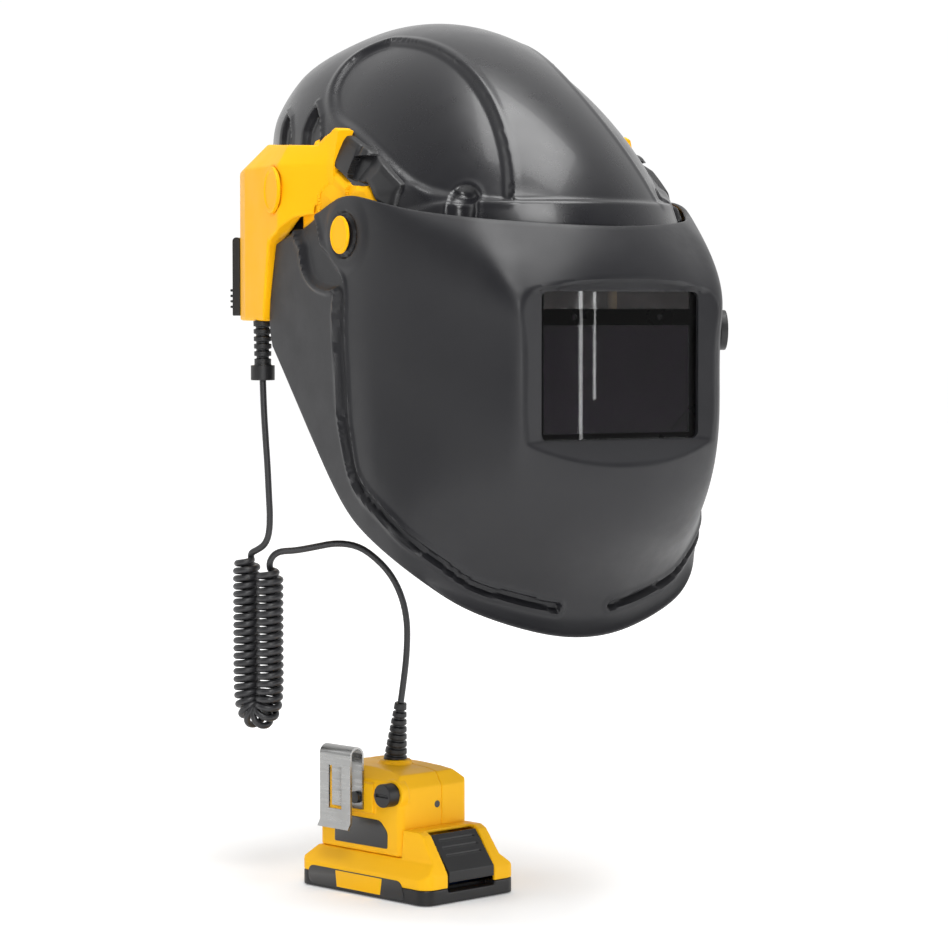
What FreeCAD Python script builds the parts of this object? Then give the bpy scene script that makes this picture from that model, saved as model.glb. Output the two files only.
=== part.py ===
import FreeCAD, Part
import math
import os

# Powered air respirator: a hard-capped welding helmet with a lift-up visor, a blower carried on the
# back of the cap, and a belt pack with its battery, joined to the blower by a curly lead.
# Millimetres. +Z up, the wearer faces -Y, +X is the wearer's left. Origin: centre of the headband.

# ---- Cap: elliptical slices, each set further back towards the crown ----
CAP_BASE_Z = 20.0
CAP_RISE = 136.0
CAP_HALF_LENGTH = 155.0
CAP_HALF_WIDTH = 108.0
CAP_CROWN_SHIFT = 46.0
CAP_SHIFT_POWER = 1.4
CAP_WALL = 3.0
CAP_SLICES = 9
CAP_TOP_ANGLE = 85.0
CAP_FLAT_X = 104.2       # the cap's sides are flattened here, to let the visor's flanges pass
CAP_FLAT_HALF_LENGTH = 62.0
CAP_FLAT_TOP = 47.0
VISOR_PATH = [(0, 104.2), (21, 104.2), (22, 103.2), (30, 99.2), (38, 94.3), (46, 89.0), (54, 83.6), (62, 77.6),
              (70, 71.3), (90, 45.8)]

# ---- Visor pivots ----
PIVOT_Y = -47.0
PIVOT_Z = 25.0
PIVOT_PIN_R = 6.0
PIVOT_BOSS_R = 20.5
PIVOT_BOSS_BACK_X = 104.6
PIVOT_FACE_X = 112.4
PIVOT_HUB_X = 91.5
PIVOT_BUTTON_R = 10.4

# ---- Visor ----
VISOR_WALL = 3.0
WINDOW_Y = -166.0
WINDOW_HALF_WIDTH = 51.5
WINDOW_TOP = -7.3
WINDOW_BOTTOM = -89.4
WINDOW_MID_Z = (WINDOW_TOP + WINDOW_BOTTOM) / 2
BEZEL_DEPTH = 14.0
BEZEL_SIDE_SLOPE = 8.5   # sideways per mm of depth
BEZEL_TOP_SLOPE = 0.79
BEZEL_SILL_SLOPE = 1.236
BEZEL_BACK_Y = -163.0

# ---- Filter stack behind the window: the standard 110 x 90 format ----
FILTER_HALF_WIDTH = 55.0
FILTER_HALF_HEIGHT = 45.0
COVER_LENS_THICK = 1.4
DARKENING_DEPTH = 9.0
LCD_HALF_WIDTH = 48.0
LCD_TOP = -26.0
RETAINER_TOP = -12.0
LCD_BOTTOM = -86.0
SOLAR_TOP = -6.5
SOLAR_BOTTOM = -17.0
SENSOR_X = 28.0
SENSOR_Z = -21.5

# ---- Shade knob on the left cheek ----
KNOB_POS = FreeCAD.Vector(79.5, -142.4, -29.0)
KNOB_DIR = FreeCAD.Vector(0.915, -0.4035, 0.0)
KNOB_R = 11.5
KNOB_HEIGHT = 4.4
KNOB_LIFT = 0.8
KNOB_SPINDLE_R = 3.0

# ---- Blower housing ----
HOUSING_BOTTOM = -24.0
HOUSING_SHOULDER = 67.0
HOUSING_TOP = 88.0
HOUSING_WALL = 2.5
HOUSING_ROOF_INSETS = [3, 4, 13, 20, 21, 21, 21, 21]
CAP_GAP = 1.0
BACK_PANEL_OUT = 3.5
DOOR_HALF = 22.0
DOOR_TOP = 25.0
DOOR_BOTTOM = -21.0
DOOR_THICK = 5.0
DOOR_GAP = 0.3
FAN_CENTRE = FreeCAD.Vector(0, 181, 20)
DUCT_HALF_WIDTH = 16.0   # the blower's outlet, outside
DUCT_LOW = 46.0
DUCT_HIGH = 62.0
DUCT_WALL = 1.6
POWER_POS = FreeCAD.Vector(-117.2, 31.0, 53.0)
POWER_DIR = FreeCAD.Vector(-0.990, 0.1425, 0.0)
POWER_R = 13.6
SCREW_HEAD_R = 2.6
HOUSING_SCREWS = [FreeCAD.Vector(x, 193.2, z) for x in (-34, 34) for z in (-16, 56)]

# ---- Headgear ----
BAND_HALF_WIDTH = 79.5
BAND_HALF_LENGTH = 99.5
BAND_THICK = 2.5
BAND_HALF_HEIGHT = 13.0
CROWN_Z = 112.0
STRAP_WIDTH = 22.0
STRAP_THICK = 1.8

# ---- Lead ----
LEAD_R = 2.0
COIL_R = 8.5

# ---- Belt pack: built on its own axes, u along the battery, v across it, z up from the floor ----
PACK_ORIGIN = FreeCAD.Vector(-33.8, 19.5, -366.0)
PACK_YAW = -76.0
BATTERY_HALF_LENGTH = 56.5
BATTERY_HALF_WIDTH = 37.5
BATTERY_BASE_TOP = 9.0
BATTERY_SHOULDER = 14.5
BATTERY_DECK = 23.7
CELL_R = 7.0
CELL_LENGTH = 50.0
BATTERY_HUMP_TOP = 40.5
ADAPTER_BACK = -48.7
ADAPTER_FRONT = 24.2
ADAPTER_HALF_WIDTH = 27.5
ADAPTER_TOP = 74.5
GLAND_TOP = 77.0
FUSE_U = 17.0
FUSE_Z = 61.0
ADAPTER_SEAM_V = 6.0
FRONT_SCREW_V = 2.6
FRONT_SCREW_Z = 53.0
CLIP_SCREW_U = -10.5
CLIP_SCREW_Z = 57.0
ADAPTER_WALL = 2.4
SHELL_GAP = 0.3
RUNNING_FIT = 0.06       # radial play of everything that turns on a pin

V = FreeCAD.Vector
UP = V(0, 0, 1)
BIG = 400.0


# ---- Small tools ----
def save(name, shape):
    shape.exportStep(os.path.join("parts", name + ".step"))


def save_pair(name, right):
    """A piece of the wearer's right side and its mirror image."""
    save(name + "_right", right)
    save(name + "_left", mirrored(right))


def save_group(name, right):
    """The same two pieces kept together as one node of separate solids."""
    save(name, Part.makeCompound([right, mirrored(right)]))


def mirrored(shape):
    return shape.mirror(V(0, 0, 0), V(1, 0, 0))


def box(x0, x1, y0, y1, z0, z1):
    return Part.makeBox(x1 - x0, y1 - y0, z1 - z0, V(x0, y0, z0))


def cylinder(radius, start, end):
    axis = end - start
    return Part.makeCylinder(radius, axis.Length, start, axis)


def cone(radius_start, radius_end, start, end):
    axis = end - start
    return Part.makeCone(radius_start, radius_end, axis.Length, start, axis)


def prism(points, direction):
    """The closed polygon through points, drawn out along direction."""
    wire = Part.makePolygon(list(points) + [points[0]])
    return Part.Face(wire).extrude(direction)


def side_prism(outline, x0, x1):
    """A (y, z) outline drawn out from x0 to x1."""
    return prism([V(x0, y, z) for y, z in outline], V(x1 - x0, 0, 0))


def plan_prism(outline, z0, z1):
    """An (x, y) outline drawn up from z0 to z1."""
    return prism([V(x, y, z0) for x, y in outline], V(0, 0, z1 - z0))


def both_sides(half):
    """A (width, y) outline from the front round to the back centre, closed with its mirror image."""
    right = [(-x, y) for x, y in half]
    left = [(x, y) for x, y in reversed(half) if x > 0]
    return right + left


def rounded(solid, radius, pick):
    """Solid with the edges that pick accepts rounded."""
    edges = [e for e in solid.Edges if pick(e)]
    return solid.makeFillet(radius, edges)


def is_upright(edge):
    start, end = edge.Vertexes[0].Point, edge.Vertexes[-1].Point
    return abs(start.x - end.x) < 1e-6 and abs(start.y - end.y) < 1e-6 and abs(start.z - end.z) > 1e-3


def ellipse_wire(half_x, half_y, centre):
    """A horizontal ellipse of the given half sizes."""
    curve = Part.Ellipse(centre + V(0, half_y, 0), centre + V(half_x, 0, 0), centre)
    return Part.Wire(curve.toShape())


def ellipse_disc(half_x, half_y, y, z0, z1):
    return Part.Face(ellipse_wire(half_x, half_y, V(0, y, z0))).extrude(V(0, 0, z1 - z0))


def ring(outer_x, outer_y, thickness, z0, z1, y=0.0):
    outer = ellipse_disc(outer_x, outer_y, y, z0, z1)
    return outer.cut(ellipse_disc(outer_x - thickness, outer_y - thickness, y, z0, z1))


# ---- Cap ----
def cap_slice(height, grow):
    """Wire of the cap's slice at a height from 0, the brim, to 1, the crown."""
    lean = CAP_CROWN_SHIFT * math.sin(math.pi * height / 2) ** CAP_SHIFT_POWER
    shrink = math.sqrt(1 - height * height)
    centre = V(0, lean, CAP_BASE_Z + (CAP_RISE + grow) * height)
    return ellipse_wire((CAP_HALF_WIDTH + grow) * shrink, (CAP_HALF_LENGTH + grow) * shrink, centre)


def cap_dome(grow):
    """The cap's outer form as one solid, grown outwards by grow."""
    step = math.radians(CAP_TOP_ANGLE) / CAP_SLICES
    slices = [cap_slice(math.sin(step * k), grow) for k in range(CAP_SLICES + 1)]
    return Part.makeLoft(slices, True, False)


def cap_column(grow, bottom):
    """The dome with its brim carried straight down to bottom."""
    skirt = ellipse_disc(CAP_HALF_WIDTH + grow, CAP_HALF_LENGTH + grow, 0, bottom, CAP_BASE_Z)
    return cap_dome(grow).fuse(skirt)


def cap_layer(outer_grow, inner_grow):
    return cap_dome(outer_grow).cut(cap_dome(inner_grow))


def flat_sided(dome, x, half_length, top):
    """Dome with both sides cut flat low down, beside the visor's flanges."""
    for sign in (-1, 1):
        near, far = sorted((sign * x, sign * BIG))
        dome = dome.cut(box(near, far, -half_length, half_length, 0, top))
    return dome


def visor_path_limit():
    """The space the lifting visor leaves free: a half width for each distance from the pivot."""
    rim = VISOR_PATH[-1][0]
    points = [V(-x, PIVOT_Y, PIVOT_Z + r) for r, x in VISOR_PATH]
    points += [V(0, PIVOT_Y, PIVOT_Z + rim), V(0, PIVOT_Y, PIVOT_Z)]
    half = Part.Face(Part.makePolygon(points + points[:1]))
    swept = half.revolve(V(0, PIVOT_Y, PIVOT_Z), V(1, 0, 0), 360)
    swept = swept.fuse(swept.mirror(V(0, 0, 0), V(1, 0, 0)))
    above = box(-BIG, BIG, PIVOT_Y + 1, BIG, PIVOT_Z + 45, BIG)
    behind = box(-BIG, BIG, PIVOT_Y + 13, BIG, PIVOT_Z + 22, BIG)
    return swept.fuse(above).fuse(behind)


def duct_way():
    """The opening for the blower's outlet through the cap and the panel behind it."""
    return box(-DUCT_HALF_WIDTH - 0.5, DUCT_HALF_WIDTH + 0.5, 120, 190, DUCT_LOW - 0.5, DUCT_HIGH + 0.5)


def cap_shell():
    outer = flat_sided(cap_dome(0), CAP_FLAT_X, CAP_FLAT_HALF_LENGTH, CAP_FLAT_TOP)
    inner = flat_sided(cap_dome(-CAP_WALL), CAP_FLAT_X - CAP_WALL, CAP_FLAT_HALF_LENGTH - CAP_WALL,
                       CAP_FLAT_TOP - CAP_WALL)
    shell = outer.cut(inner)
    pin_hole = cylinder(PIVOT_PIN_R, V(-BIG, PIVOT_Y, PIVOT_Z), V(BIG, PIVOT_Y, PIVOT_Z))
    return shell.cut(pin_hole).cut(duct_way())


def slot_cover():
    """Faceted cover of the right accessory slot, on the cap above the housing's arm."""
    outline = [(-26.5, 84), (-48, 74), (-77, 51), (-74, 37), (-55, 56), (-41, 58), (-24, 69)]
    layer = cap_layer(6.0, 0.0).common(side_prism(outline, -130, -60))
    return layer.common(visor_path_limit())


# ---- Visor ----
# Outer surface, half width: each row runs from the front centre round to the rear edge.
# Rows: top edge, brow crease, four down the face, the rim channel, the rim.
VISOR_ROWS = [
    [(0, -157, 28.5), (30, -152, 29.5), (61, -133, 32), (75, -120, 34), (93, -94, 38), (106, -69, 43.5),
     (110.5, -40, 46), (111, -8, 35), (111.5, 37.8, 20.5)],
    [(0, -176, 0.6), (30, -174.5, 0), (60, -167, -4), (74, -156, 4), (94, -109, 22), (106, -78, 27),
     (111, -43, 28), (111.5, -4, 21), (111.5, 40, 12)],
    [(0, -177.5, -28), (30, -176, -28), (60, -167.5, -28), (72.5, -156, -25), (92.5, -110, -14), (105, -77, -10),
     (111, -46, -4), (111.5, -2, 5), (111.5, 42, 4.5)],
    [(0, -178, -65), (30, -176.5, -65), (60, -168, -64), (72.5, -156, -60), (92.5, -112, -52), (104.5, -78, -43),
     (110.5, -50, -29), (111.5, 0, -13), (111.5, 44, -4)],
    [(0, -177, -103), (30, -175, -102), (60, -166, -99), (73, -153.5, -93), (93, -110, -82), (104.5, -79, -72),
     (110, -54, -54), (111, 2, -29), (111.5, 45.6, -12)],
    [(0, -162, -147), (29, -159.5, -145), (59, -150, -139), (74.5, -138, -131), (96, -107, -114),
     (105.5, -80, -101), (109.5, -57, -79), (111, 4, -44), (111.5, 46.6, -20)],
    [(0, -125, -183), (27, -124, -181), (58, -117.5, -172), (82, -107, -160), (100, -97, -143),
     (106.5, -79, -128), (109.5, -58, -104), (110.7, 7, -57), (111.2, 47, -29)],
    [(0, -130, -201), (28, -128, -198), (62, -119.5, -187), (83, -109, -175), (99.5, -91, -159),
     (106.5, -60, -142), (109.8, -31, -119), (110.6, 13.8, -70), (110.8, 44.5, -39)],
]


def grid_both_sides(rows):
    """Full rows, from the right rear edge round the front to the left rear edge."""
    full = []
    for row in rows:
        right = [V(-x, y, z) for x, y, z in reversed(row)]
        left = [V(x, y, z) for x, y, z in row[1:]]
        full.append(right + left)
    return full


def grid_normals(grid):
    """Unit normals of a grid of points, from each point's neighbours."""
    rows, columns = len(grid), len(grid[0])
    normals = []
    for i in range(rows):
        line = []
        for j in range(columns):
            across = grid[i][min(j + 1, columns - 1)] - grid[i][max(j - 1, 0)]
            down = grid[min(i + 1, rows - 1)][j] - grid[max(i - 1, 0)][j]
            line.append(across.cross(down).normalize())
        normals.append(line)
    return normals


def sharpened(line):
    """Poles whose uniform cubic B-spline passes close to the points of line."""
    inner = [line[k] - (line[k - 1] - line[k] * 2 + line[k + 1]) * (1 / 6) for k in range(1, len(line) - 1)]
    return [line[0]] + inner + [line[-1]]


def grid_surface(grid):
    """Smooth bicubic surface that follows a grid of points."""
    poles = [sharpened(row) for row in grid]
    columns = [sharpened([row[j] for row in poles]) for j in range(len(poles[0]))]
    poles = [[column[i] for column in columns] for i in range(len(poles))]
    knots, repeats, degrees = [], [], []
    for count in (len(poles), len(poles[0])):
        degree = min(3, count - 1)
        spans = count - degree
        degrees.append(degree)
        knots.append([float(k) for k in range(spans + 1)])
        repeats.append([degree + 1] + [1] * (spans - 1) + [degree + 1])
    surface = Part.BSplineSurface()
    surface.buildFromPolesMultsKnots(poles, repeats[0], repeats[1], knots[0], knots[1], False, False,
                                     degrees[0], degrees[1])
    return surface.toShape()


def grid_solid(grid, wall):
    """A shell whose one face passes through the grid and whose other lies wall along the normals."""
    normals = grid_normals(grid)
    inner = [[p + n * wall for p, n in zip(row, side)] for row, side in zip(grid, normals)]
    first, second = grid_surface(grid), grid_surface(inner)
    faces = [first, second]
    for edge_a, edge_b in zip(first.Edges, second.Edges):
        faces.append(Part.makeRuledSurface(edge_a, edge_b))
    shell = Part.makeShell(faces)
    shell.sewShape()
    solid = Part.Solid(shell)
    if solid.Volume < 0:
        solid.reverse()
    return solid


def rectangle(half_x, z0, z1, y):
    corners = [V(-half_x, y, z0), V(half_x, y, z0), V(half_x, y, z1), V(-half_x, y, z1)]
    return Part.makePolygon(corners + corners[:1])


def bezel_cutter():
    """The window's sloping recess: wide at the visor's face, the window's size at its back."""
    front_y = WINDOW_Y - BEZEL_DEPTH
    front = rectangle(WINDOW_HALF_WIDTH + BEZEL_SIDE_SLOPE * BEZEL_DEPTH,
                      WINDOW_BOTTOM - BEZEL_SILL_SLOPE * BEZEL_DEPTH,
                      WINDOW_TOP + BEZEL_TOP_SLOPE * BEZEL_DEPTH, front_y)
    back = rectangle(WINDOW_HALF_WIDTH, WINDOW_BOTTOM, WINDOW_TOP, WINDOW_Y)
    return Part.makeLoft([front, back], True, True)


def visor_shell():
    shell = grid_solid(grid_both_sides(VISOR_ROWS), VISOR_WALL)
    half_front = [(60, -166.4), (45, -171), (30, -174.4), (15, -176), (0, -176.4)]
    outline = [(-x, y) for x, y in half_front] + [(x, y) for x, y in reversed(half_front[:-1])]
    outline += [(60, BEZEL_BACK_Y), (-60, BEZEL_BACK_Y)]
    shell = shell.fuse(plan_prism(outline, -97, -3.5))
    window = box(-WINDOW_HALF_WIDTH, WINDOW_HALF_WIDTH, -200, BEZEL_BACK_Y + 8, WINDOW_BOTTOM, WINDOW_TOP)
    shell = shell.cut(bezel_cutter()).cut(window)
    for sign in (-1, 1):
        back, face = V(sign * PIVOT_BOSS_BACK_X, PIVOT_Y, PIVOT_Z), V(sign * PIVOT_FACE_X, PIVOT_Y, PIVOT_Z)
        shell = shell.fuse(cylinder(PIVOT_BOSS_R, back, face))
    bore = cylinder(PIVOT_PIN_R + RUNNING_FIT, V(-BIG, PIVOT_Y, PIVOT_Z), V(BIG, PIVOT_Y, PIVOT_Z))
    spindle = cylinder(KNOB_SPINDLE_R + RUNNING_FIT, KNOB_POS - KNOB_DIR * 20, KNOB_POS + KNOB_DIR * 20)
    return shell.cut(bore).cut(spindle)


def pivot_hub():
    """Right pivot: a flange inside the cap and a pin out through the cap and the visor's boss."""
    inner = V(-PIVOT_HUB_X, PIVOT_Y, PIVOT_Z)
    flange = cylinder(10.0, inner, inner - V(2.4, 0, 0))
    pin = cylinder(PIVOT_PIN_R, inner, V(-PIVOT_FACE_X - 0.3, PIVOT_Y, PIVOT_Z))
    return flange.fuse(pin)


def pivot_button():
    start = V(-PIVOT_FACE_X - 0.3, PIVOT_Y, PIVOT_Z)
    disc = cylinder(PIVOT_BUTTON_R, start, start - V(1.8, 0, 0))
    return rounded(disc, 0.8, lambda e: abs(e.BoundBox.XMax - e.BoundBox.XMin) < 0.01
                   and e.BoundBox.XMin < start.x - 1)


def window_plate(half_width, z0, z1, y0, depth):
    return box(-half_width, half_width, y0, y0 + depth, z0, z1)


def filter_stack():
    """Cover lenses, auto-darkening cartridge and its retaining frame, from the window inwards."""
    low, high = WINDOW_MID_Z - FILTER_HALF_HEIGHT, WINDOW_MID_Z + FILTER_HALF_HEIGHT
    y = BEZEL_BACK_Y
    save("outer_cover_lens", window_plate(FILTER_HALF_WIDTH, low, high, y, COVER_LENS_THICK))
    y += COVER_LENS_THICK
    body = window_plate(FILTER_HALF_WIDTH, low, high, y, DARKENING_DEPTH)
    body = body.cut(window_plate(LCD_HALF_WIDTH, LCD_BOTTOM, LCD_TOP, y - 1, DARKENING_DEPTH + 2))
    body = body.cut(window_plate(LCD_HALF_WIDTH, SOLAR_BOTTOM, SOLAR_TOP, y - 1, 2.6))
    sensors = []
    for x in (-SENSOR_X, SENSOR_X):
        body = body.cut(cylinder(1.6, V(x, y - 1, SENSOR_Z), V(x, y + 3, SENSOR_Z)))
        sensors.append(cylinder(1.6, V(x, y + 1, SENSOR_Z), V(x, y + 3, SENSOR_Z)))
    save("darkening_cartridge", body)
    save("arc_sensors", Part.makeCompound(sensors))
    save("lcd_glass", window_plate(LCD_HALF_WIDTH, LCD_BOTTOM, LCD_TOP, y + 1.2, 4.0))
    save("solar_cells", window_plate(LCD_HALF_WIDTH, SOLAR_BOTTOM, SOLAR_TOP, y + 0.6, 1.0))
    y += DARKENING_DEPTH
    frame = window_plate(FILTER_HALF_WIDTH + 4, low - 4, RETAINER_TOP, y, 3.0)
    save("lens_retainer", frame.cut(window_plate(LCD_HALF_WIDTH, LCD_BOTTOM, LCD_TOP, y - 1, 5.0)))
    y += 3.0
    save("inner_cover_lens", window_plate(LCD_HALF_WIDTH + 4, LCD_BOTTOM - 4, LCD_TOP + 4, y, 1.0))


def shade_knob():
    base = KNOB_POS + KNOB_DIR * KNOB_LIFT
    disc = cylinder(KNOB_R, base, base + KNOB_DIR * KNOB_HEIGHT)
    spindle = cylinder(KNOB_SPINDLE_R, KNOB_POS - KNOB_DIR * 8, base + KNOB_DIR)
    return disc.fuse(spindle)


def shade_sensor():
    """Round potentiometer inside the cheek, round the knob's spindle."""
    inner = KNOB_POS - KNOB_DIR * 5.5
    body = cylinder(8.0, inner, inner - KNOB_DIR * 6)
    return body.cut(cylinder(KNOB_SPINDLE_R + RUNNING_FIT, inner, inner - KNOB_DIR * 7))


SEAL_ROWS = [
    [(0, -114, -171), (28, -112, -169), (56, -104, -160), (78, -93, -148), (92, -82, -134), (100, -66, -116),
     (103.5, -46, -92), (105, -10, -52)],
    [(0, -98, -160), (24, -96, -158), (48, -88, -149), (68, -76, -137), (82, -64, -122), (91, -50, -104),
     (96, -32, -80), (99, -4, -46)],
    [(0, -80, -142), (20, -78, -140), (40, -72, -133), (57, -62, -123), (69, -50, -108), (78, -37, -90),
     (84, -21, -68), (89, 2, -42)],
]


def face_seal():
    """Cloth gusset from inside the visor's rim towards the cheeks and under the chin."""
    return grid_solid(grid_both_sides(SEAL_ROWS), 2.0)


# ---- Blower housing ----
HOUSING_PLAN = [(97.5, -55), (104.5, -14), (118.5, 22), (109.5, 84.5), (93, 125), (65, 162), (42, 193), (0, 197)]
HOUSING_SIDE = [(-45, 48.5), (-40, 55), (-22, 66), (-25, 84), (-15, 88), (-3, 78), (40, 80), (108, 84),
                (210, 84), (210, HOUSING_BOTTOM), (49.5, HOUSING_BOTTOM), (49.5, -20), (44, 5), (40, 23),
                (26, 28), (11, 36.5), (-8, 38), (-33, 48)]
ARM_SIDE = [(-72, 35), (-53, 53.5), (-40, 55), (-25, 60), (-25, 40), (-45, 30), (-62, 28)]
FACET_FRONT = V(-93, 125, 0)
FACET_BACK = V(-65, 162, 0)


def inset_plan(distances):
    """The housing's half plan with each point moved inwards by its distance."""
    moved = []
    count = len(HOUSING_PLAN)
    for k, (x, y) in enumerate(HOUSING_PLAN):
        ahead = HOUSING_PLAN[min(k + 1, count - 1)]
        behind = HOUSING_PLAN[max(k - 1, 0)]
        run_x, run_y = ahead[0] - behind[0], ahead[1] - behind[1]
        length = math.hypot(run_x, run_y)
        new_x = 0 if x == 0 else x - run_y / length * distances[k]
        moved.append((new_x, y + run_x / length * distances[k]))
    return moved


def housing_block():
    """Everything inside the housing's outer faces."""
    plan = both_sides(HOUSING_PLAN)
    roof_plan = both_sides(inset_plan(HOUSING_ROOF_INSETS))
    walls = plan_prism(plan, HOUSING_BOTTOM, HOUSING_SHOULDER)
    low = Part.makePolygon([V(x, y, HOUSING_SHOULDER) for x, y in plan + plan[:1]])
    high = Part.makePolygon([V(x, y, HOUSING_TOP) for x, y in roof_plan + roof_plan[:1]])
    roof = Part.makeLoft([low, high], True, True)
    return walls.fuse(roof).common(side_prism(HOUSING_SIDE, -BIG, BIG))


def housing_hollow():
    plan = both_sides(inset_plan([HOUSING_WALL] * len(HOUSING_PLAN)))
    hollow = plan_prism(plan, HOUSING_BOTTOM + HOUSING_WALL, HOUSING_SHOULDER - HOUSING_WALL)
    return hollow.common(box(-BIG, BIG, 52, BIG, -BIG, BIG))


def facet_box(along0, along1, z0, z1, out0, out1):
    """A block on the right rear facet: distances along it from its front edge, up, and outwards."""
    tangent = (FACET_BACK - FACET_FRONT).normalize()
    outward = V(-tangent.y, tangent.x, 0)
    if outward.x > 0:
        outward = outward * -1
    corners = [FACET_FRONT + tangent * a + outward * o + UP * z0
               for a, o in ((along0, out0), (along1, out0), (along1, out1), (along0, out1))]
    return prism(corners, V(0, 0, z1 - z0))


def facet_point(along, z, out):
    tangent = (FACET_BACK - FACET_FRONT).normalize()
    outward = V(-tangent.y, tangent.x, 0)
    if outward.x > 0:
        outward = outward * -1
    return FACET_FRONT + tangent * along + outward * out + UP * z


FACET_MID = 23.2


def filter_port():
    return facet_box(FACET_MID - 17, FACET_MID + 17, -15, 19, -HOUSING_WALL - 1.5, 1)


def blower_housing():
    shell = housing_block().cut(cap_column(CAP_GAP, HOUSING_BOTTOM - 5)).cut(housing_hollow())
    arm = cap_layer(2.4, 0.0).common(visor_path_limit())
    arm = arm.cut(cylinder(PIVOT_BOSS_R + 2, V(-BIG, PIVOT_Y, PIVOT_Z), V(BIG, PIVOT_Y, PIVOT_Z)))
    for sign in (-1, 1):
        near, far = sorted((sign * 60, sign * 130))
        shell = shell.fuse(arm.common(side_prism(ARM_SIDE, near, far)))
    port = filter_port()
    button_well = cylinder(POWER_R + SHELL_GAP, POWER_POS + POWER_DIR * 4, POWER_POS - POWER_DIR * 1.6)
    for spot in HOUSING_SCREWS:
        shell = shell.cut(cylinder(SCREW_HEAD_R, spot - V(0, 2.2, 0), spot + V(0, 3, 0)))
    return shell.cut(port).cut(mirrored(port)).cut(button_well)


def blower_back_panel():
    """Inner wall that closes the housing against the cap."""
    panel = housing_hollow().common(cap_column(BACK_PANEL_OUT, HOUSING_BOTTOM - 5))
    panel = panel.cut(cap_column(CAP_GAP, HOUSING_BOTTOM - 5))
    return panel.cut(duct_way())


def filter_door():
    """Right door: a hinge barrel along its top edge and a ribbed finger grip near its foot."""
    low, high = DOOR_GAP, DOOR_GAP + DOOR_THICK
    door = facet_box(FACET_MID - DOOR_HALF, FACET_MID + DOOR_HALF, DOOR_BOTTOM, DOOR_TOP, low, high)
    barrel_out = (low + high) / 2
    barrel = cylinder(DOOR_THICK / 2, facet_point(FACET_MID - DOOR_HALF, DOOR_TOP, barrel_out),
                      facet_point(FACET_MID + DOOR_HALF, DOOR_TOP, barrel_out))
    door = door.fuse(barrel)
    for k in range(4):
        z = -4.5 - 3.4 * k
        door = door.fuse(facet_box(FACET_MID - 16, FACET_MID + 16, z - 1.6, z, high - 0.5, high + 2.6))
    return door


def filter_cartridge():
    return facet_box(FACET_MID - 21, FACET_MID + 21, -18, 22, -14, -HOUSING_WALL - 0.1)


def prefilter():
    return facet_box(FACET_MID - 16.5, FACET_MID + 16.5, -14.5, 18.5, -HOUSING_WALL + 0.1, -0.2)


def blower():
    """Volute, motor and impeller at the back of the housing, blowing forwards over the head."""
    centre = FAN_CENTRE
    back, front = centre + V(0, 10, 0), centre - V(0, 10, 0)
    volute = cylinder(31, front, back)
    volute = volute.fuse(box(-DUCT_HALF_WIDTH, DUCT_HALF_WIDTH, 150, 191, DUCT_LOW, DUCT_HIGH))
    volute = volute.cut(cylinder(29, front + V(0, 2, 0), back - V(0, 1.5, 0)))
    bore = DUCT_HALF_WIDTH - DUCT_WALL
    volute = volute.cut(box(-bore, bore, 149, 189.4, DUCT_LOW + DUCT_WALL, DUCT_HIGH - DUCT_WALL))
    volute = volute.cut(box(-bore, bore, 173, 189.4, 40, 50))
    volute = volute.cut(cylinder(14, front - V(0, 1, 0), front + V(0, 3, 0)))
    save("blower_volute", volute)
    motor = cylinder(11, back - V(0, 1.6, 0), back - V(0, 9, 0))
    shaft = cylinder(1.5, back - V(0, 9, 0), back - V(0, 13, 0))
    save("blower_motor", motor.fuse(shaft))
    save("impeller", impeller(front, back))


def impeller(front, back):
    """Bladed wheel: a disc over the motor with curved blades round its edge."""
    plate_y = front.y + 5.5
    disc = cylinder(26, V(0, plate_y, front.z), V(0, plate_y + 1.6, front.z))
    hub = cylinder(5, V(0, plate_y, front.z), V(0, plate_y + 3, front.z))
    wheel = disc.fuse(hub).cut(cylinder(1.56, front, back))
    blades = []
    for k in range(24):
        blade = box(18, 26, plate_y - 2, plate_y + 10, -0.5, 0.5)
        blade.rotate(V(18, 0, 0), V(0, 1, 0), 35)
        blade.rotate(V(0, 0, 0), V(0, 1, 0), 360 * k / 24)
        blade.translate(V(0, 0, front.z))
        blades.append(blade.common(cylinder(27.5, V(0, plate_y - 3, front.z), V(0, plate_y + 12, front.z))))
    for blade in blades:
        wheel = wheel.fuse(blade)
    return wheel.removeSplitter()


def power_button():
    start = POWER_POS - POWER_DIR * 0.6
    disc = cylinder(POWER_R, start, POWER_POS + POWER_DIR * 1.7)
    ring_cut = cylinder(POWER_R - 2.5, POWER_POS + POWER_DIR * 1.1, POWER_POS + POWER_DIR * 3)
    return disc.cut(ring_cut)


def control_board():
    return box(105.0, 106.6, 57, 80, -14, 48)


def housing_screws():
    """Four countersunk heads in the housing's rear face."""
    screws = []
    for spot in HOUSING_SCREWS:
        screws.append(cylinder(SCREW_HEAD_R, spot, spot - V(0, 2.2, 0)))
    return Part.makeCompound(screws)


# ---- Headgear ----
def headband():
    return ring(BAND_HALF_WIDTH, BAND_HALF_LENGTH, BAND_THICK, -BAND_HALF_HEIGHT, BAND_HALF_HEIGHT)


def sweatband():
    pad = ring(BAND_HALF_WIDTH - BAND_THICK - SHELL_GAP, BAND_HALF_LENGTH - BAND_THICK - SHELL_GAP, 4.0,
               -BAND_HALF_HEIGHT - 2, BAND_HALF_HEIGHT + 2)
    return pad.common(box(-BIG, BIG, -BIG, -38, -BIG, BIG))


def upright_ellipse(half_width, height):
    """A half-width by height ellipse in X and Y, whichever is the longer."""
    longer, shorter = V(half_width, 0, 0), V(0, height, 0)
    if height > half_width:
        longer, shorter = shorter, longer
    return Part.Face(Part.Wire(Part.Ellipse(longer, shorter, V(0, 0, 0)).toShape()))


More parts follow.
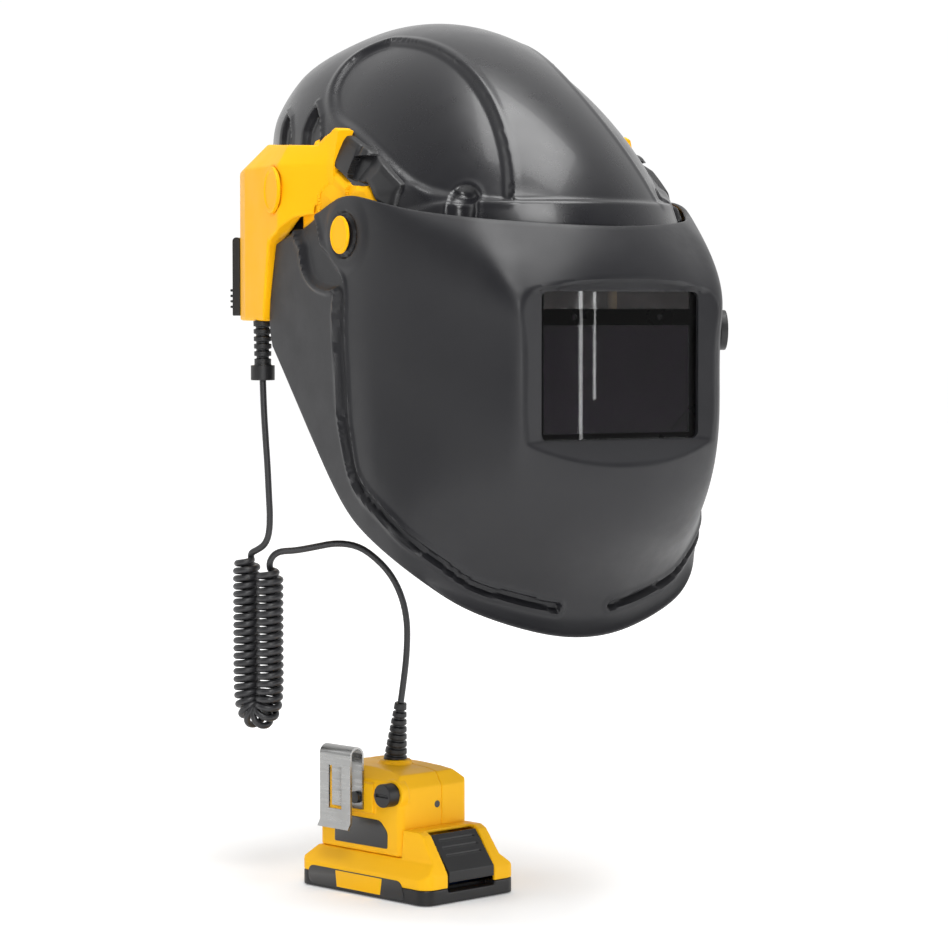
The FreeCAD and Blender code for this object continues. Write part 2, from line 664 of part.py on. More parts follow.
def strap_arch(half_width):
    """Half-elliptical strap over the head, across X, from the headband's top edge."""
    outer = upright_ellipse(half_width, CROWN_Z)
    inner = upright_ellipse(half_width - STRAP_THICK, CROWN_Z - STRAP_THICK)
    arch = outer.cut(inner).extrude(V(0, 0, STRAP_WIDTH))
    arch.translate(V(0, 0, -STRAP_WIDTH / 2))
    arch.rotate(V(0, 0, 0), V(1, 0, 0), 90)
    return arch.common(box(-BIG, BIG, -BIG, BIG, BAND_HALF_HEIGHT + SHELL_GAP, BIG))


def crown_straps():
    across = strap_arch(BAND_HALF_WIDTH)
    along = strap_arch(BAND_HALF_LENGTH)
    along.rotate(V(0, 0, 0), UP, 90)
    return across.fuse(along)


def suspension_arms():
    """Four arms that hang the headband inside the cap."""
    arms = []
    for angle in (40, 140, 220, 320):
        direction = V(math.cos(math.radians(angle)), math.sin(math.radians(angle)), 0)
        start = V(direction.x * (BAND_HALF_WIDTH - 6), direction.y * (BAND_HALF_LENGTH - 6), 0)
        side = V(-direction.y, direction.x, 0) * 7
        corners = [start - side, start + side, start + side + direction * 70, start - side + direction * 70]
        arm = prism([c + UP * 21 for c in corners], V(0, 0, 4))
        foot = prism([c + UP * 4 for c in (corners[0], corners[1], corners[1] + direction * 12,
                                           corners[0] + direction * 12)], V(0, 0, 21))
        arm = arm.fuse(foot).common(cap_column(-CAP_WALL - 0.3, 0))
        arms.append(arm.cut(ellipse_disc(BAND_HALF_WIDTH + 0.2, BAND_HALF_LENGTH + 0.2, 0, -BIG, BIG)))
    return Part.makeCompound(arms)


def ratchet_housing():
    body = box(-23, 23, BAND_HALF_LENGTH + SHELL_GAP, BAND_HALF_LENGTH + 12, -16, 16)
    body = rounded(body, 6, lambda e: abs(e.BoundBox.YMax - e.BoundBox.YMin) > 5)
    return body.cut(cylinder(4.06, V(0, BAND_HALF_LENGTH + 3, 0), V(0, BAND_HALF_LENGTH + 30, 0)))


def ratchet_knob():
    face = BAND_HALF_LENGTH + 12.4
    knob = cylinder(17, V(0, face, 0), V(0, face + 13, 0))
    for k in range(12):
        angle = 2 * math.pi * k / 12
        groove = V(math.cos(angle) * 18.2, 0, math.sin(angle) * 18.2)
        knob = knob.cut(cylinder(2.4, groove + V(0, face - 1, 0), groove + V(0, face + 14, 0)))
    return knob.fuse(cylinder(4.0, V(0, face - 8, 0), V(0, face + 1, 0)))


def air_duct():
    """Flat duct that hugs the inside of the cap from the blower over the crown to the brow."""
    strip = box(-32, 32, -200, 200, 44, 200)
    bore = box(-30.4, 30.4, -200, 200, 43, 200)
    duct = cap_layer(-4.4, -15.5).common(strip)
    duct = duct.cut(cap_layer(-6.0, -13.9).common(bore))
    inlet = box(-14.4, 14.4, 120, 190, 47.6, 60.4)
    return duct.cut(inlet).cut(box(-40, 40, 149.8, 190, 40, 66))


def air_outlet():
    """Wide slotted mouthpiece of the duct, blowing down over the face from the brow."""
    block = cap_layer(-4.4, -19.0).common(box(-50, 50, -200, -60, 25, 43.6))
    block = block.cut(cap_layer(-6.2, -17.2).common(box(-48, 48, -200, -60, 27, 44)))
    for k in range(7):
        x = -42 + 14 * k
        block = block.cut(cap_layer(-7, -16.4).common(box(x - 5, x + 5, -200, -60, 20, 30)))
    return block


# ---- Lead ----
def tube(points, radius, name):
    """Round tube along straight runs joined by tangent arcs, each as large as its two runs allow."""
    edges = []
    here = points[0]
    smallest = None
    for k in range(1, len(points) - 1):
        before, corner, after = points[k - 1], points[k], points[k + 1]
        run_in, run_out = (corner - before).Length, (after - corner).Length
        way_in, way_out = (corner - before).normalize(), (after - corner).normalize()
        turn = way_in.getAngle(way_out)
        reach = 0.45 * min(run_in, run_out)
        bend = reach / math.tan(turn / 2)
        smallest = bend if smallest is None else min(smallest, bend)
        start, end = corner - way_in * reach, corner + way_out * reach
        inward = (way_out - way_in).normalize()
        middle = corner + inward * (bend / math.cos(turn / 2) - bend)
        edges.append(Part.LineSegment(here, start).toShape())
        edges.append(Part.Arc(start, middle, end).toShape())
        here = end
    edges.append(Part.LineSegment(here, points[-1]).toShape())
    path = Part.Wire(edges)
    section = Part.Wire(Part.Circle(points[0], points[1] - points[0], radius).toShape())
    solid = path.makePipeShell([section], True, False)
    expected = math.pi * radius * radius * path.Length
    print(name, "length %.1f" % path.Length, "smallest radius %.1f" % smallest,
          "volume ratio %.3f" % (solid.Volume / expected))
    return solid


# Routes: the helmet's lead down to the coil, and the lead from the coil over to the belt pack.
HELMET_EXIT = V(-107.7, 64.0, HOUSING_BOTTOM)
HELMET_LEAD = [V(-107.7, 64.0, -59.6), V(-107.4, 63.6, -76), V(-106.4, 63.2, -94), V(-105.2, 63.0, -112),
               V(-104.5, 62.8, -129), V(-103.7, 63.0, -141), V(-104.0, 63.5, -152.0), V(-105.4, 66.2, -158.6),
               V(-107.8, 71.0, -161.9), V(-110.4, 75.8, -164.2), V(-111.9, 78.5, -168.0)]
COIL_LEFT_TOP = V(-111.9, 78.5, -168.0)
COIL_RIGHT_TOP = V(-104.3, 62.5, -174.0)
COIL_BEND_Z = -249.4
PACK_LEAD = [V(-104.3, 62.5, -174.0), V(-104.4, 62.5, -169.1), V(-102.4, 61.3, -164.9), V(-98.8, 59.2, -162.5),
             V(-91.0, 54.6, -162.2), V(-80.0, 48.2, -159.8), V(-69.5, 42.2, -157.4), V(-58.0, 35.7, -159.2), V(-48.3, 30.5, -167.0), V(-40.0, 26.2, -177.5),
             V(-34.4, 23.5, -191.0), V(-32.0, 22.2, -205.0), V(-32.0, 22.2, -219.5), V(-33.3, 22.6, -235.5),
             V(-35.6, 23.9, -254.3)]


def coil():
    """The curly part hangs in a U: one fat tube of the coil's outer size."""
    left_low = V(COIL_LEFT_TOP.x, COIL_LEFT_TOP.y, COIL_BEND_Z)
    right_low = V(COIL_RIGHT_TOP.x, COIL_RIGHT_TOP.y, COIL_BEND_Z)
    bend = (right_low - left_low).Length / 2
    bottom = (left_low + right_low) * 0.5 - UP * bend
    path = Part.Wire([Part.LineSegment(COIL_LEFT_TOP, left_low).toShape(),
                      Part.Arc(left_low, bottom, right_low).toShape(),
                      Part.LineSegment(right_low, COIL_RIGHT_TOP).toShape()])
    section = Part.Wire(Part.Circle(COIL_LEFT_TOP, UP, COIL_R).toShape())
    return path.makePipeShell([section], True, False)


def relief(base, tip, radius_base, radius_tip, ribs):
    """Tapered strain relief with grooves between its ribs, from a housing out to the lead."""
    axis = (tip - base).normalize()
    length = (tip - base).Length
    body = cone(radius_base, radius_tip, base, tip)
    pitch = length / (ribs + 1)
    for k in range(ribs):
        start = base + axis * (pitch * (k + 0.75))
        groove = cylinder(radius_base + 3, start, start + axis * (pitch * 0.35))
        keep = radius_base + (radius_tip - radius_base) * (k + 1) / (ribs + 1) - 1.4
        body = body.cut(groove.cut(cylinder(keep, start - axis, start + axis * pitch)))
    return body


def helmet_relief():
    collar_top = HELMET_LEAD[0] + UP * 9
    body = relief(HELMET_EXIT, collar_top, 5.6, 5.0, 5)
    return body.fuse(cylinder(7.2, collar_top, HELMET_LEAD[0]))


# ---- Belt pack, on its own axes ----
def on_belt(shape):
    """Moves a piece of the belt pack from its own axes to its place."""
    placed = shape.copy()
    placed.rotate(V(0, 0, 0), UP, PACK_YAW)
    placed.translate(PACK_ORIGIN)
    return placed


def profile_block(outline, half_width):
    """A (u, z) outline drawn across the pack to half_width each side."""
    return prism([V(u, -half_width, z) for u, z in outline], V(0, 2 * half_width, 0))


def battery_upper(shrink):
    """Outer form of the battery's upper shell: a deck with a hump at the release end."""
    foot, shoulder = BATTERY_BASE_TOP - shrink, BATTERY_SHOULDER - shrink / 2
    length, width = BATTERY_HALF_LENGTH - shrink, BATTERY_HALF_WIDTH - shrink
    deck, top = BATTERY_DECK - shrink, BATTERY_HUMP_TOP - shrink
    hump = ADAPTER_FRONT + SHELL_GAP + shrink
    outline = [(-length, foot), (-length, shoulder), (-length + 7, deck), (hump, deck), (hump, top),
               (38 - shrink, top), (42 - shrink, top - 2), (54 - shrink, 21), (length, shoulder + 2), (length, foot)]
    flank, crest = 27.5 - shrink, 26 - shrink
    across = [(-width, foot), (-width, shoulder), (-flank, deck), (-crest, top), (crest, top), (flank, deck),
              (width, shoulder), (width, foot)]
    lengthwise = profile_block(outline, BATTERY_HALF_WIDTH)
    crosswise = prism([V(-BIG, v, z) for v, z in across], V(2 * BIG, 0, 0))
    plan = rounded(box(-length, length, -width, width, foot, 60), 8, is_upright)
    return lengthwise.common(crosswise).common(plan)


def release_well():
    return profile_block([(34.5, 44), (58, 44), (58, 6.5), (49, 6.5), (35, 33)], 19.0)


def battery_cover():
    shell = battery_upper(0).cut(battery_upper(2.2))
    return shell.cut(release_well())


def battery_base():
    tray = box(-BATTERY_HALF_LENGTH, BATTERY_HALF_LENGTH, -BATTERY_HALF_WIDTH, BATTERY_HALF_WIDTH, 0,
               BATTERY_BASE_TOP)
    tray = rounded(tray, 8, is_upright)
    inner = box(-BATTERY_HALF_LENGTH + 2.4, 47, -BATTERY_HALF_WIDTH + 2.4, BATTERY_HALF_WIDTH - 2.4, 2.4, 40)
    return tray.cut(inner).cut(release_well())


def battery_cells():
    cells = []
    for k in range(6):
        u = -43 + 15 * k
        cells.append(cylinder(CELL_R, V(u, -CELL_LENGTH / 2, 10), V(u, CELL_LENGTH / 2, 10)))
    return Part.makeCompound(cells)


def battery_terminal_block():
    """Slotted block on the deck that slides into the adapter."""
    block = box(-30, ADAPTER_FRONT, -16, 16, BATTERY_DECK, 33)
    for v in (-12, -4, 4, 12):
        block = block.cut(box(-31, 0, v - 1.0, v + 1.0, 25.5, 34))
    return block


def release_button():
    outline = [(40.5, 38.6), (54.6, 20.6), (56.4, 18.4), (56.4, 12), (50.5, 12), (37, 35.5)]
    button = profile_block(outline, 18.4)
    for k in range(3):
        u, z = 43.5 + 3.2 * k, 35.4 - 4.1 * k
        button = button.cut(cylinder(0.9, V(u, -14, z), V(u, 14, z)))
    return button


def side_strip():
    return box(-47.5, 39, -BATTERY_HALF_WIDTH - 0.35, -BATTERY_HALF_WIDTH, 1.5, 12.8)


def adapter_block():
    """Outer form of the adapter: a rounded box with a step down to its front and side bosses."""
    outline = [(ADAPTER_BACK, BATTERY_DECK + SHELL_GAP), (ADAPTER_FRONT, BATTERY_DECK + SHELL_GAP), (ADAPTER_FRONT, 64),
               (19, 72), (10, ADAPTER_TOP - 1), (-6, ADAPTER_TOP), (-40, ADAPTER_TOP), (ADAPTER_BACK, 69)]
    body = profile_block(outline, ADAPTER_HALF_WIDTH)
    body = rounded(body, 4.0, is_upright)
    roof = [(-ADAPTER_HALF_WIDTH, 0), (-ADAPTER_HALF_WIDTH, 68), (-19, ADAPTER_TOP + 1), (16, ADAPTER_TOP + 1),
            (ADAPTER_HALF_WIDTH, 66), (ADAPTER_HALF_WIDTH, 0)]
    body = body.common(prism([V(-BIG, v, z) for v, z in roof], V(2 * BIG, 0, 0)))
    clip_pad = box(-34, 2, -29.8, -ADAPTER_HALF_WIDTH + 3, 48, 66)
    fuse_boss = cylinder(9.0, V(FUSE_U, -ADAPTER_HALF_WIDTH + 6, FUSE_Z), V(FUSE_U, -ADAPTER_HALF_WIDTH, FUSE_Z))
    gland = cone(12.5, 9.5, V(-10.3, 0, ADAPTER_TOP - 6), V(-10.3, 0, GLAND_TOP))
    return body.fuse(clip_pad).fuse(fuse_boss).fuse(gland)


def adapter_hollow():
    lower = box(-34.5, ADAPTER_FRONT + 1, -17.0, 17.0, BATTERY_DECK, 34.0)
    room = box(ADAPTER_BACK + ADAPTER_WALL, ADAPTER_FRONT - ADAPTER_WALL, -ADAPTER_HALF_WIDTH + ADAPTER_WALL,
               ADAPTER_HALF_WIDTH - ADAPTER_WALL, 37, 66)
    fuse_way = cylinder(5.2, V(FUSE_U, -18, FUSE_Z), V(FUSE_U, -40, FUSE_Z))
    return lower.fuse(room).fuse(fuse_way)


def adapter_halves():
    body = adapter_block().cut(adapter_hollow())
    clip_side = body.common(box(-BIG, BIG, -BIG, ADAPTER_SEAM_V, -BIG, BIG))
    far_side = body.common(box(-BIG, BIG, ADAPTER_SEAM_V, BIG, -BIG, BIG))
    screw_hole = cylinder(2.1, V(ADAPTER_FRONT - 1.2, FRONT_SCREW_V, FRONT_SCREW_Z),
                          V(ADAPTER_FRONT + 2, FRONT_SCREW_V, FRONT_SCREW_Z))
    clip_hole = cylinder(2.1, V(CLIP_SCREW_U, -31, CLIP_SCREW_Z), V(CLIP_SCREW_U, -21, CLIP_SCREW_Z))
    save("adapter_housing_clip_side", on_belt(clip_side.cut(screw_hole).cut(clip_hole)))
    save("adapter_housing_far_side", on_belt(far_side))


def adapter_terminals():
    blades = [box(-34.4, -12, v - 0.4, v + 0.4, 26.5, 31) for v in (-12, -4, 4, 12)]
    return Part.makeCompound(blades)


def adapter_board():
    return box(-44, 18, -22, 22, 39, 40.6)


def fuse_holder():
    barrel = cylinder(5.1, V(FUSE_U, -18, FUSE_Z), V(FUSE_U, -27.4, FUSE_Z))
    return barrel.cut(cylinder(3.4, V(FUSE_U, -17, FUSE_Z), V(FUSE_U, -30, FUSE_Z)))


def fuse():
    return cylinder(2.9, V(FUSE_U, -18, FUSE_Z), V(FUSE_U, -27.2, FUSE_Z))


def fuse_cap():
    cap = cylinder(7.0, V(FUSE_U, -27.8, FUSE_Z), V(FUSE_U, -36.0, FUSE_Z))
    return cap.cut(box(FUSE_U - 5.5, FUSE_U + 5.5, -38, -34.8, FUSE_Z - 0.9, FUSE_Z + 0.9))


def belt_clip():
    """Sprung steel strip folded over at its top, slotted and with a turned-out lip."""
    back = box(-33, -5.6, -31.2, -30.0, 50, 84)
    front = box(-33, -5.6, -40.8, -39.6, 41, 84)
    bend_out = cylinder(5.4, V(-33, -35.4, 82.4), V(-5.6, -35.4, 82.4))
    bend_in = cylinder(4.2, V(-34, -35.4, 82.4), V(-4, -35.4, 82.4))
    bend = bend_out.cut(bend_in).common(box(-40, 0, -50, 0, 82.4, 100))
    front = front.common(box(-40, 0, -50, 0, 0, 82.4))
    back = back.common(box(-40, 0, -50, 0, 0, 82.4))
    lip = prism([V(-33, -40.8, 42.5), V(-33, -39.6, 42.5), V(-33, -41.8, 38.2), V(-33, -43.0, 38.6)], V(27.4, 0, 0))
    slot = box(-25, -13.6, -45, -36, 50, 76)
    clip = front.fuse(bend).fuse(back).fuse(lip).cut(slot)
    return clip.cut(cylinder(2.1, V(CLIP_SCREW_U, -32, CLIP_SCREW_Z), V(CLIP_SCREW_U, -29, CLIP_SCREW_Z)))


def clip_screw():
    under_head = V(CLIP_SCREW_U, -31.3, CLIP_SCREW_Z)
    head = cylinder(3.6, under_head, under_head - V(0, 2.0, 0))
    return head.fuse(cylinder(1.9, under_head, under_head + V(0, 9.3, 0)))


def rating_label():
    return box(-34.5, 13, -ADAPTER_HALF_WIDTH - 0.3, -ADAPTER_HALF_WIDTH, 27.5, 44.5)


def adapter_screw():
    return cylinder(2.1, V(ADAPTER_FRONT - 1.2, FRONT_SCREW_V, FRONT_SCREW_Z),
                    V(ADAPTER_FRONT - 0.2, FRONT_SCREW_V, FRONT_SCREW_Z))


def belt_pack():
    adapter_halves()
    save("adapter_terminals", on_belt(adapter_terminals()))
    save("adapter_board", on_belt(adapter_board()))
    save("fuse_holder", on_belt(fuse_holder()))
    save("fuse", on_belt(fuse()))
    save("fuse_cap", on_belt(fuse_cap()))
    save("belt_clip", on_belt(belt_clip()))
    save("clip_screw", on_belt(clip_screw()))
    save("rating_label", on_belt(rating_label()))
    save("adapter_screw", on_belt(adapter_screw()))
    save("battery_cover", on_belt(battery_cover()))
    save("battery_base", on_belt(battery_base()))
    save("battery_cells", on_belt(battery_cells()))
    save("battery_terminal_block", on_belt(battery_terminal_block()))
    save("battery_side_strip", on_belt(side_strip()))
    save("release_button", on_belt(release_button()))


def pack_relief():
    gland = PACK_ORIGIN.z + GLAND_TOP
    body = relief(V(-36.3, 29.6, gland - 1), PACK_LEAD[-1], 7.2, 3.6, 7)
    return body.cut(box(-BIG, BIG, -BIG, BIG, -BIG, gland))


def main():
    os.makedirs("parts", exist_ok=True)
    save("cap_shell", cap_shell())
    save_pair("slot_cover", slot_cover())
    save("visor_shell", visor_shell())
    save_group("pivot_hubs", pivot_hub())
    save_pair("pivot_button", pivot_button())
    filter_stack()
    save("shade_knob", shade_knob())
    save("shade_potentiometer", shade_sensor())
    save("face_seal", face_seal())
    save("blower_housing", blower_housing())
    save("blower_back_panel", blower_back_panel())
    save_pair("filter_door", filter_door())
    save_pair("filter", filter_cartridge())
    save_group("prefilters", prefilter())
    blower()
    save("power_button", power_button())
    save("control_board", control_board())
    save("housing_screws", housing_screws())
    save("headband", headband())
    save("sweatband", sweatband())
    save("crown_straps", crown_straps())
    save("suspension_arms", suspension_arms())
    save("ratchet_housing", ratchet_housing())
    save("ratchet_knob", ratchet_knob())
    save("air_duct", air_duct())
    save("air_outlet", air_outlet())
    save("helmet_strain_relief", helmet_relief())
    wound = coil()
    save("lead_helmet", tube(HELMET_LEAD, LEAD_R, "lead_helmet").cut(wound))
    save("lead_coil", wound)
    save("lead_pack", tube(PACK_LEAD, LEAD_R, "lead_pack").cut(wound))
    save("pack_strain_relief", pack_relief())
    belt_pack()


main()
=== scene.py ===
import math
import bmesh
import bpy
import numpy as np
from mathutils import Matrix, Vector


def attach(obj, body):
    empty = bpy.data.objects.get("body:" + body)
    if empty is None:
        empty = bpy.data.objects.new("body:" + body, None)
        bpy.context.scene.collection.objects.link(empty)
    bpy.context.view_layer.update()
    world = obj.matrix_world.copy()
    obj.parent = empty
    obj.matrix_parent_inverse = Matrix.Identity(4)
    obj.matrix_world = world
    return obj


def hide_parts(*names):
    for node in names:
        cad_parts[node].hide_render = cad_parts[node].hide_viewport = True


# Looks for a powered air respirator: a gloss cap with a matte lift-up visor, a yellow blower housing on
# the back of the cap, and a belt pack on a curly lead. Points are in millimetres until a mesh is made.

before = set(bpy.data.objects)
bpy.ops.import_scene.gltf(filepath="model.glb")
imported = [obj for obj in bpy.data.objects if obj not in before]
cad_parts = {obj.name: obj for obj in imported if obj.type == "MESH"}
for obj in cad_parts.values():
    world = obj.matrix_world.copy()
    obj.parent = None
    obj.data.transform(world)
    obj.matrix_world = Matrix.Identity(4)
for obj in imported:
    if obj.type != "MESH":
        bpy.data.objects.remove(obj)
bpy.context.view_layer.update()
MM = 0.001

# ---- Sizes shared with the frame ----
CAP_BASE_Z, CAP_RISE, CAP_HALF_LENGTH, CAP_HALF_WIDTH = 20.0, 136.0, 155.0, 108.0
CAP_CROWN_SHIFT, CAP_SHIFT_POWER, CAP_WALL = 46.0, 1.4, 3.0
CAP_FLAT_X, CAP_FLAT_HALF_LENGTH, CAP_FLAT_TOP = 104.2, 62.0, 47.0
PIVOT_Y, PIVOT_Z, PIVOT_FACE_X, PIVOT_BOSS_R = -47.0, 25.0, 112.4, 20.5
VISOR_WALL = 3.0
WINDOW_Y, WINDOW_HALF_WIDTH, WINDOW_TOP, WINDOW_BOTTOM = -166.0, 51.5, -7.3, -89.4
BEZEL_SIDE_SLOPE, BEZEL_TOP_SLOPE, BEZEL_SILL_SLOPE, BEZEL_BACK_Y = 8.5, 0.79, 1.236, -163.0
LEAD_DIAMETER = 4.0
COIL_R = 8.5
PACK_ORIGIN, PACK_YAW = np.array([-33.8, 19.5, -366.0]), math.radians(-76.0)
PACK_FLOOR_Z = -366.0


# ---- Arrays and curves ----
def smooth_step(edge0, edge1, value):
    t = np.clip((value - edge0) / (edge1 - edge0), 0.0, 1.0)
    return t * t * (3 - 2 * t)


def bump(distance, half_width):
    """1 on the line, falling smoothly to 0 at half_width."""
    return smooth_step(half_width, 0.0, np.abs(distance))


def unit(vectors):
    return vectors / np.maximum(np.linalg.norm(vectors, axis=-1, keepdims=True), 1e-9)


def spline_weights(count, samples):
    """Weights of the poles of a clamped uniform cubic B-spline at samples even steps."""
    degree = min(3, count - 1)
    spans = count - degree
    knots = np.concatenate([np.zeros(degree), np.arange(spans + 1), np.full(degree, spans)]).astype(float)
    at = np.linspace(0, spans - 1e-9, samples)
    weights = [((knots[k] <= at) & (at < knots[k + 1])).astype(float) for k in range(len(knots) - 1)]
    for d in range(1, degree + 1):
        raised = []
        for k in range(len(weights) - 1):
            value = np.zeros(samples)
            if knots[k + d] > knots[k]:
                value += (at - knots[k]) / (knots[k + d] - knots[k]) * weights[k]
            if knots[k + d + 1] > knots[k + 1]:
                value += (knots[k + d + 1] - at) / (knots[k + d + 1] - knots[k + 1]) * weights[k + 1]
            raised.append(value)
        weights = raised
    return np.stack(weights, 1)


def sharpened(points):
    """Poles whose B-spline passes close to points, along the first axis."""
    poles = points.copy()
    poles[1:-1] = points[1:-1] - (points[:-2] - 2 * points[1:-1] + points[2:]) / 6
    return poles


def smooth_line(points, samples):
    points = np.array(points, float)
    return spline_weights(len(points), samples) @ sharpened(points)


def smooth_surface(grid, rows, columns):
    poles = np.transpose(sharpened(np.transpose(grid, (1, 0, 2))), (1, 0, 2))
    poles = sharpened(poles)
    across = np.einsum("vj,ijk->ivk", spline_weights(grid.shape[1], columns), poles)
    return np.einsum("ui,ivk->uvk", spline_weights(grid.shape[0], rows), across)


def surface_normals(grid):
    return unit(np.cross(np.gradient(grid, axis=1), np.gradient(grid, axis=0)))


def line_distance(points, line):
    """Distance from each point to a polyline, and how far along it, from 0 to 1, the nearest place lies."""
    flat = points.reshape(-1, points.shape[-1])
    nearest = np.full(len(flat), 1e9)
    place = np.zeros(len(flat))
    for k in range(len(line) - 1):
        start, run = line[k], line[k + 1] - line[k]
        along = np.clip(((flat - start) @ run) / max(run @ run, 1e-9), 0, 1)
        distance = np.linalg.norm(flat - start - along[:, None] * run, axis=1)
        closer = distance < nearest
        nearest = np.where(closer, distance, nearest)
        place = np.where(closer, (k + along) / (len(line) - 1), place)
    return nearest.reshape(points.shape[:-1]), place.reshape(points.shape[:-1])


def inside_outline(y, z, outline):
    """Whether each (y, z) is within a closed outline."""
    inside = np.zeros(y.shape, bool)
    for (y0, z0), (y1, z1) in zip(outline, np.roll(outline, -1, axis=0)):
        crosses = (z0 > z) != (z1 > z)
        reach = (y1 - y0) * (z - z0) / (z1 - z0 + 1e-12) + y0
        inside ^= crosses & (y < reach)
    return inside


# ---- Meshes ----
def make_object(name, vertices_mm, faces, body, sharp_deg=38):
    mesh = bpy.data.meshes.new(name)
    mesh.from_pydata((np.asarray(vertices_mm) * MM).tolist(), [], [tuple(f) for f in faces])
    mesh.validate()
    face_outwards(mesh)
    obj = bpy.data.objects.new(name, mesh)
    bpy.context.collection.objects.link(obj)
    soften(obj, sharp_deg)
    if body:
        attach(obj, body)
    return obj


def face_outwards(mesh):
    work = bmesh.new()
    work.from_mesh(mesh)
    bmesh.ops.recalc_face_normals(work, faces=work.faces)
    work.to_mesh(mesh)
    work.free()
    mesh.update()


def soften(obj, sharp_deg=38):
    obj.data.shade_smooth()
    obj.data.set_sharp_from_angle(angle=math.radians(sharp_deg))


def quads(rows, columns, wrap_rows=False, wrap_columns=False, start=0):
    """Faces of a grid of vertices stored row by row."""
    faces = []
    for i in range(rows if wrap_rows else rows - 1):
        for j in range(columns if wrap_columns else columns - 1):
            a = start + i * columns + j
            b = start + i * columns + (j + 1) % columns
            c = start + ((i + 1) % rows) * columns + (j + 1) % columns
            d = start + ((i + 1) % rows) * columns + j
            faces.append((a, b, c, d))
    return faces


def end_caps(rings, columns):
    """Faces that close the first and last of the rings."""
    last = (rings - 1) * columns
    return [tuple(reversed(range(columns))), tuple(range(last, last + columns))]


def shell_between(name, outer, inner, body, lip_steps=4, sharp_deg=38):
    """Closed shell from two matching grids, with half-round lips along its first and last rows."""
    def lip(edge_outer, edge_inner, before_outer):
        middle = (edge_outer + edge_inner) / 2
        across = (edge_outer - edge_inner) / 2
        reach = np.linalg.norm(across, axis=1, keepdims=True)
        ahead = unit(edge_outer - before_outer) * reach
        angles = [math.pi * (k + 1) / (lip_steps + 1) for k in range(lip_steps)]
        return [middle + across * math.cos(a) + ahead * math.sin(a) for a in angles]

    loop = list(outer) + lip(outer[-1], inner[-1], outer[-2]) + list(inner[::-1])
    loop += lip(inner[0], outer[0], inner[1])
    rows, columns = len(loop), outer.shape[1]
    faces = quads(rows, columns, wrap_rows=True)
    faces.append(tuple(k * columns for k in range(rows)))
    faces.append(tuple(k * columns + columns - 1 for k in reversed(range(rows))))
    return make_object(name, np.concatenate(loop), faces, body, sharp_deg)


def lathe(name, profile, base, axis, body, sides=64, sharp_deg=32):
    """Turned piece: (radius, height) profile about axis from base, closed at both ends."""
    base, axis = np.array(base, float), unit(np.array(axis, float))
    side = unit(np.cross(axis, [0.31, 0.17, 0.93]))
    other = np.cross(axis, side)
    vertices = []
    for r, h in profile:
        for k in range(sides):
            t = 2 * math.pi * k / sides
            vertices.append(base + axis * h + max(r, 0.01) * (side * math.cos(t) + other * math.sin(t)))
    faces = quads(len(profile), sides, wrap_columns=True)
    faces += end_caps(len(profile), sides)
    return make_object(name, vertices, faces, body, sharp_deg)


def apply_modifiers(obj):
    bpy.context.view_layer.update()
    evaluated = obj.evaluated_get(bpy.context.evaluated_depsgraph_get())
    mesh = bpy.data.meshes.new_from_object(evaluated)
    obj.modifiers.clear()
    obj.data = mesh


def cut_by(obj, cutter_obj):
    modifier = obj.modifiers.new("cut", "BOOLEAN")
    modifier.operation = "DIFFERENCE"
    modifier.solver = "EXACT"
    modifier.object = cutter_obj
    apply_modifiers(obj)
    bpy.data.objects.remove(cutter_obj)


def moulded(node, body, voxel, passes):
    """Copy of a CAD node with its edges and corners rounded, which stands for the node."""
    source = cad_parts[node]
    obj = bpy.data.objects.new(node + "_moulded", source.data.copy())
    bpy.context.collection.objects.link(obj)
    obj.data.materials.clear()
    remesh = obj.modifiers.new("remesh", "REMESH")
    remesh.mode = "VOXEL"
    remesh.voxel_size = voxel * MM
    smooth = obj.modifiers.new("smooth", "SMOOTH")
    smooth.factor = 0.5
    smooth.iterations = passes
    apply_modifiers(obj)
    obj.data.shade_smooth()
    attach(obj, body)
    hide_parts(node)
    return obj


# ---- Materials ----
class Look:
    """A material being made: its nodes, and the links that the materials here share."""

    def __init__(self, name):
        self.material = bpy.data.materials.new(name)
        self.material.use_nodes = True
        self.nodes = self.material.node_tree.nodes
        self.links = self.material.node_tree.links
        self.shader = self.nodes["Principled BSDF"]

    def node(self, kind, **values):
        """New node of a kind, with input values by name, _ for a space."""
        made = self.nodes.new("ShaderNode" + kind)
        put(made, **values)
        return made

    def coordinates(self, kind="Object"):
        return self.node("TexCoord").outputs[kind]

    def noise(self, scale, detail=4.0, rough=0.55):
        noise = self.node("TexNoise", Scale=scale, Detail=detail, Roughness=rough)
        self.links.new(self.coordinates(), noise.inputs["Vector"])
        return noise.outputs["Fac"]

    def color(self, source, low, high, start=0.3, end=0.7):
        """Base colour from low to high as source goes from start to end."""
        ramp = self.node("ValToRGB")
        for element, place, color in zip(ramp.color_ramp.elements, (start, end), (low, high)):
            element.position = place
            element.color = (*color, 1)
        self.links.new(source, ramp.inputs["Fac"])
        self.links.new(ramp.outputs["Color"], self.shader.inputs["Base Color"])

    def span(self, source, low, high, target, start=0.3, end=0.7):
        """Feeds target from low to high as source goes from start to end."""
        span = self.node("MapRange", From_Min=start, From_Max=end, To_Min=low, To_Max=high)
        self.links.new(source, span.inputs["Value"])
        self.links.new(span.outputs["Result"], target)

    def roughness(self, source, low, high):
        self.span(source, low, high, self.shader.inputs["Roughness"])

    def bump(self, height, strength, distance, before=None):
        node = self.node("Bump", Strength=strength, Distance=distance)
        self.links.new(height, node.inputs["Height"])
        if before is not None:
            self.links.new(before.outputs["Normal"], node.inputs["Normal"])
        self.links.new(node.outputs["Normal"], self.shader.inputs["Normal"])
        return node


def put(node, **values):
    """Sets a node's inputs by name, with _ for a space."""
    for name, value in values.items():
        node.inputs[name.replace("_", " ")].default_value = value


